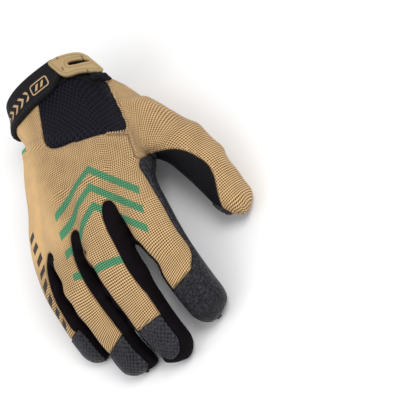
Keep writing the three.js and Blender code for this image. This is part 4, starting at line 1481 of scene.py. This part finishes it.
tan, palm_finish, side_finish, cuff_finish = knit(), grip(), side_fabric(), webbing(False)
guard_leather, cap_leather = leather("grained_leather", 0.0), leather("woven_leather", 0.7)
tan_yarn = yarn("tan_yarn", (0.36, 0.23, 0.11), (0.7, 0.5, 0.3))
dark_yarn = yarn("dark_yarn", (0.006, 0.006, 0.008), (0.04, 0.04, 0.048))
FINISHES = {
    "back_panel": (tan, "knit"), "thumb_back": (tan, "knit"), "wrist_mesh": (mesh_fabric(), "mesh"),
    "thumb_inner": (palm_finish, "grip"), "palm_panel": (palm_finish, "grip"),
    **{name: (side_finish, "side_fabric") for name in WEBS},
    **{name: (cap_leather, "grained_leather") for name in CAPS[:3]},
    "index_guard": (guard_leather, "grained_leather"),
    "cuff_band": (cuff_finish, "cuff_fabric"), "cuff_tuck": (cuff_finish, "cuff_fabric"),
    "wrist_strap": (webbing(True), "strap_webbing"),
    "pull_tab": (tab_rubber(), "tab_rubber"), "guard_stitches": (dark_yarn, "grained_leather"),
    "mesh_overlock": (tan_yarn, "knit"), "thumb_stitches": (tan_yarn, "knit"),
    "mesh_stitches": (tan_yarn, "knit"),
    "strap_stitches": (dark_yarn, "strap_webbing"),
}
for name, (material, slot) in FINISHES.items():
    objects[name].data.materials.append(material)

# Floor, light and camera.
floor_mesh = bpy.data.meshes.new("floor")
floor_mesh.from_pydata([(-3, -3, 0), (3, -3, 0), (3, 3, 0), (-3, 3, 0)], [], [(0, 1, 2, 3)])
floor = placed("floor", floor_mesh)
pale = bpy.data.materials.new("pale_floor")
pale.use_nodes = True
pale.node_tree.nodes["Principled BSDF"].inputs["Base Color"].default_value = (0.9, 0.9, 0.9, 1)
pale.node_tree.nodes["Principled BSDF"].inputs["Roughness"].default_value = 0.9
floor_mesh.materials.append(pale)

world = bpy.data.worlds.new("studio")
world.use_nodes = True
world.node_tree.nodes["Background"].inputs[0].default_value = (1, 1, 1, 1)
world.node_tree.nodes["Background"].inputs[1].default_value = 0.68
bpy.context.scene.world = world

camera_data = bpy.data.cameras.new("camera")
camera_data.sensor_width = 36
camera_data.lens = 36 * FOCAL_PIXELS / PICTURE
camera_data.clip_end = 10
camera = placed("camera", camera_data)
camera.matrix_world = Matrix.Translation(EYE) @ Matrix(AXES).transposed().to_4x4()
bpy.context.scene.camera = camera


def area_light(name, place, size, power):
    data = bpy.data.lights.new(name, "AREA")
    data.size, data.energy = size, power
    made = placed(name, data)
    made.location = place
    made.rotation_mode = "QUATERNION"
    made.rotation_quaternion = (TARGET - Vector(place)).to_track_quat("-Z", "Y")


area_light("key", (0.7, -0.15, 1.05), 0.6, 8)
area_light("fill", (-0.7, -0.3, 1.1), 0.9, 4)
bpy.context.scene.view_settings.view_transform = "Standard"
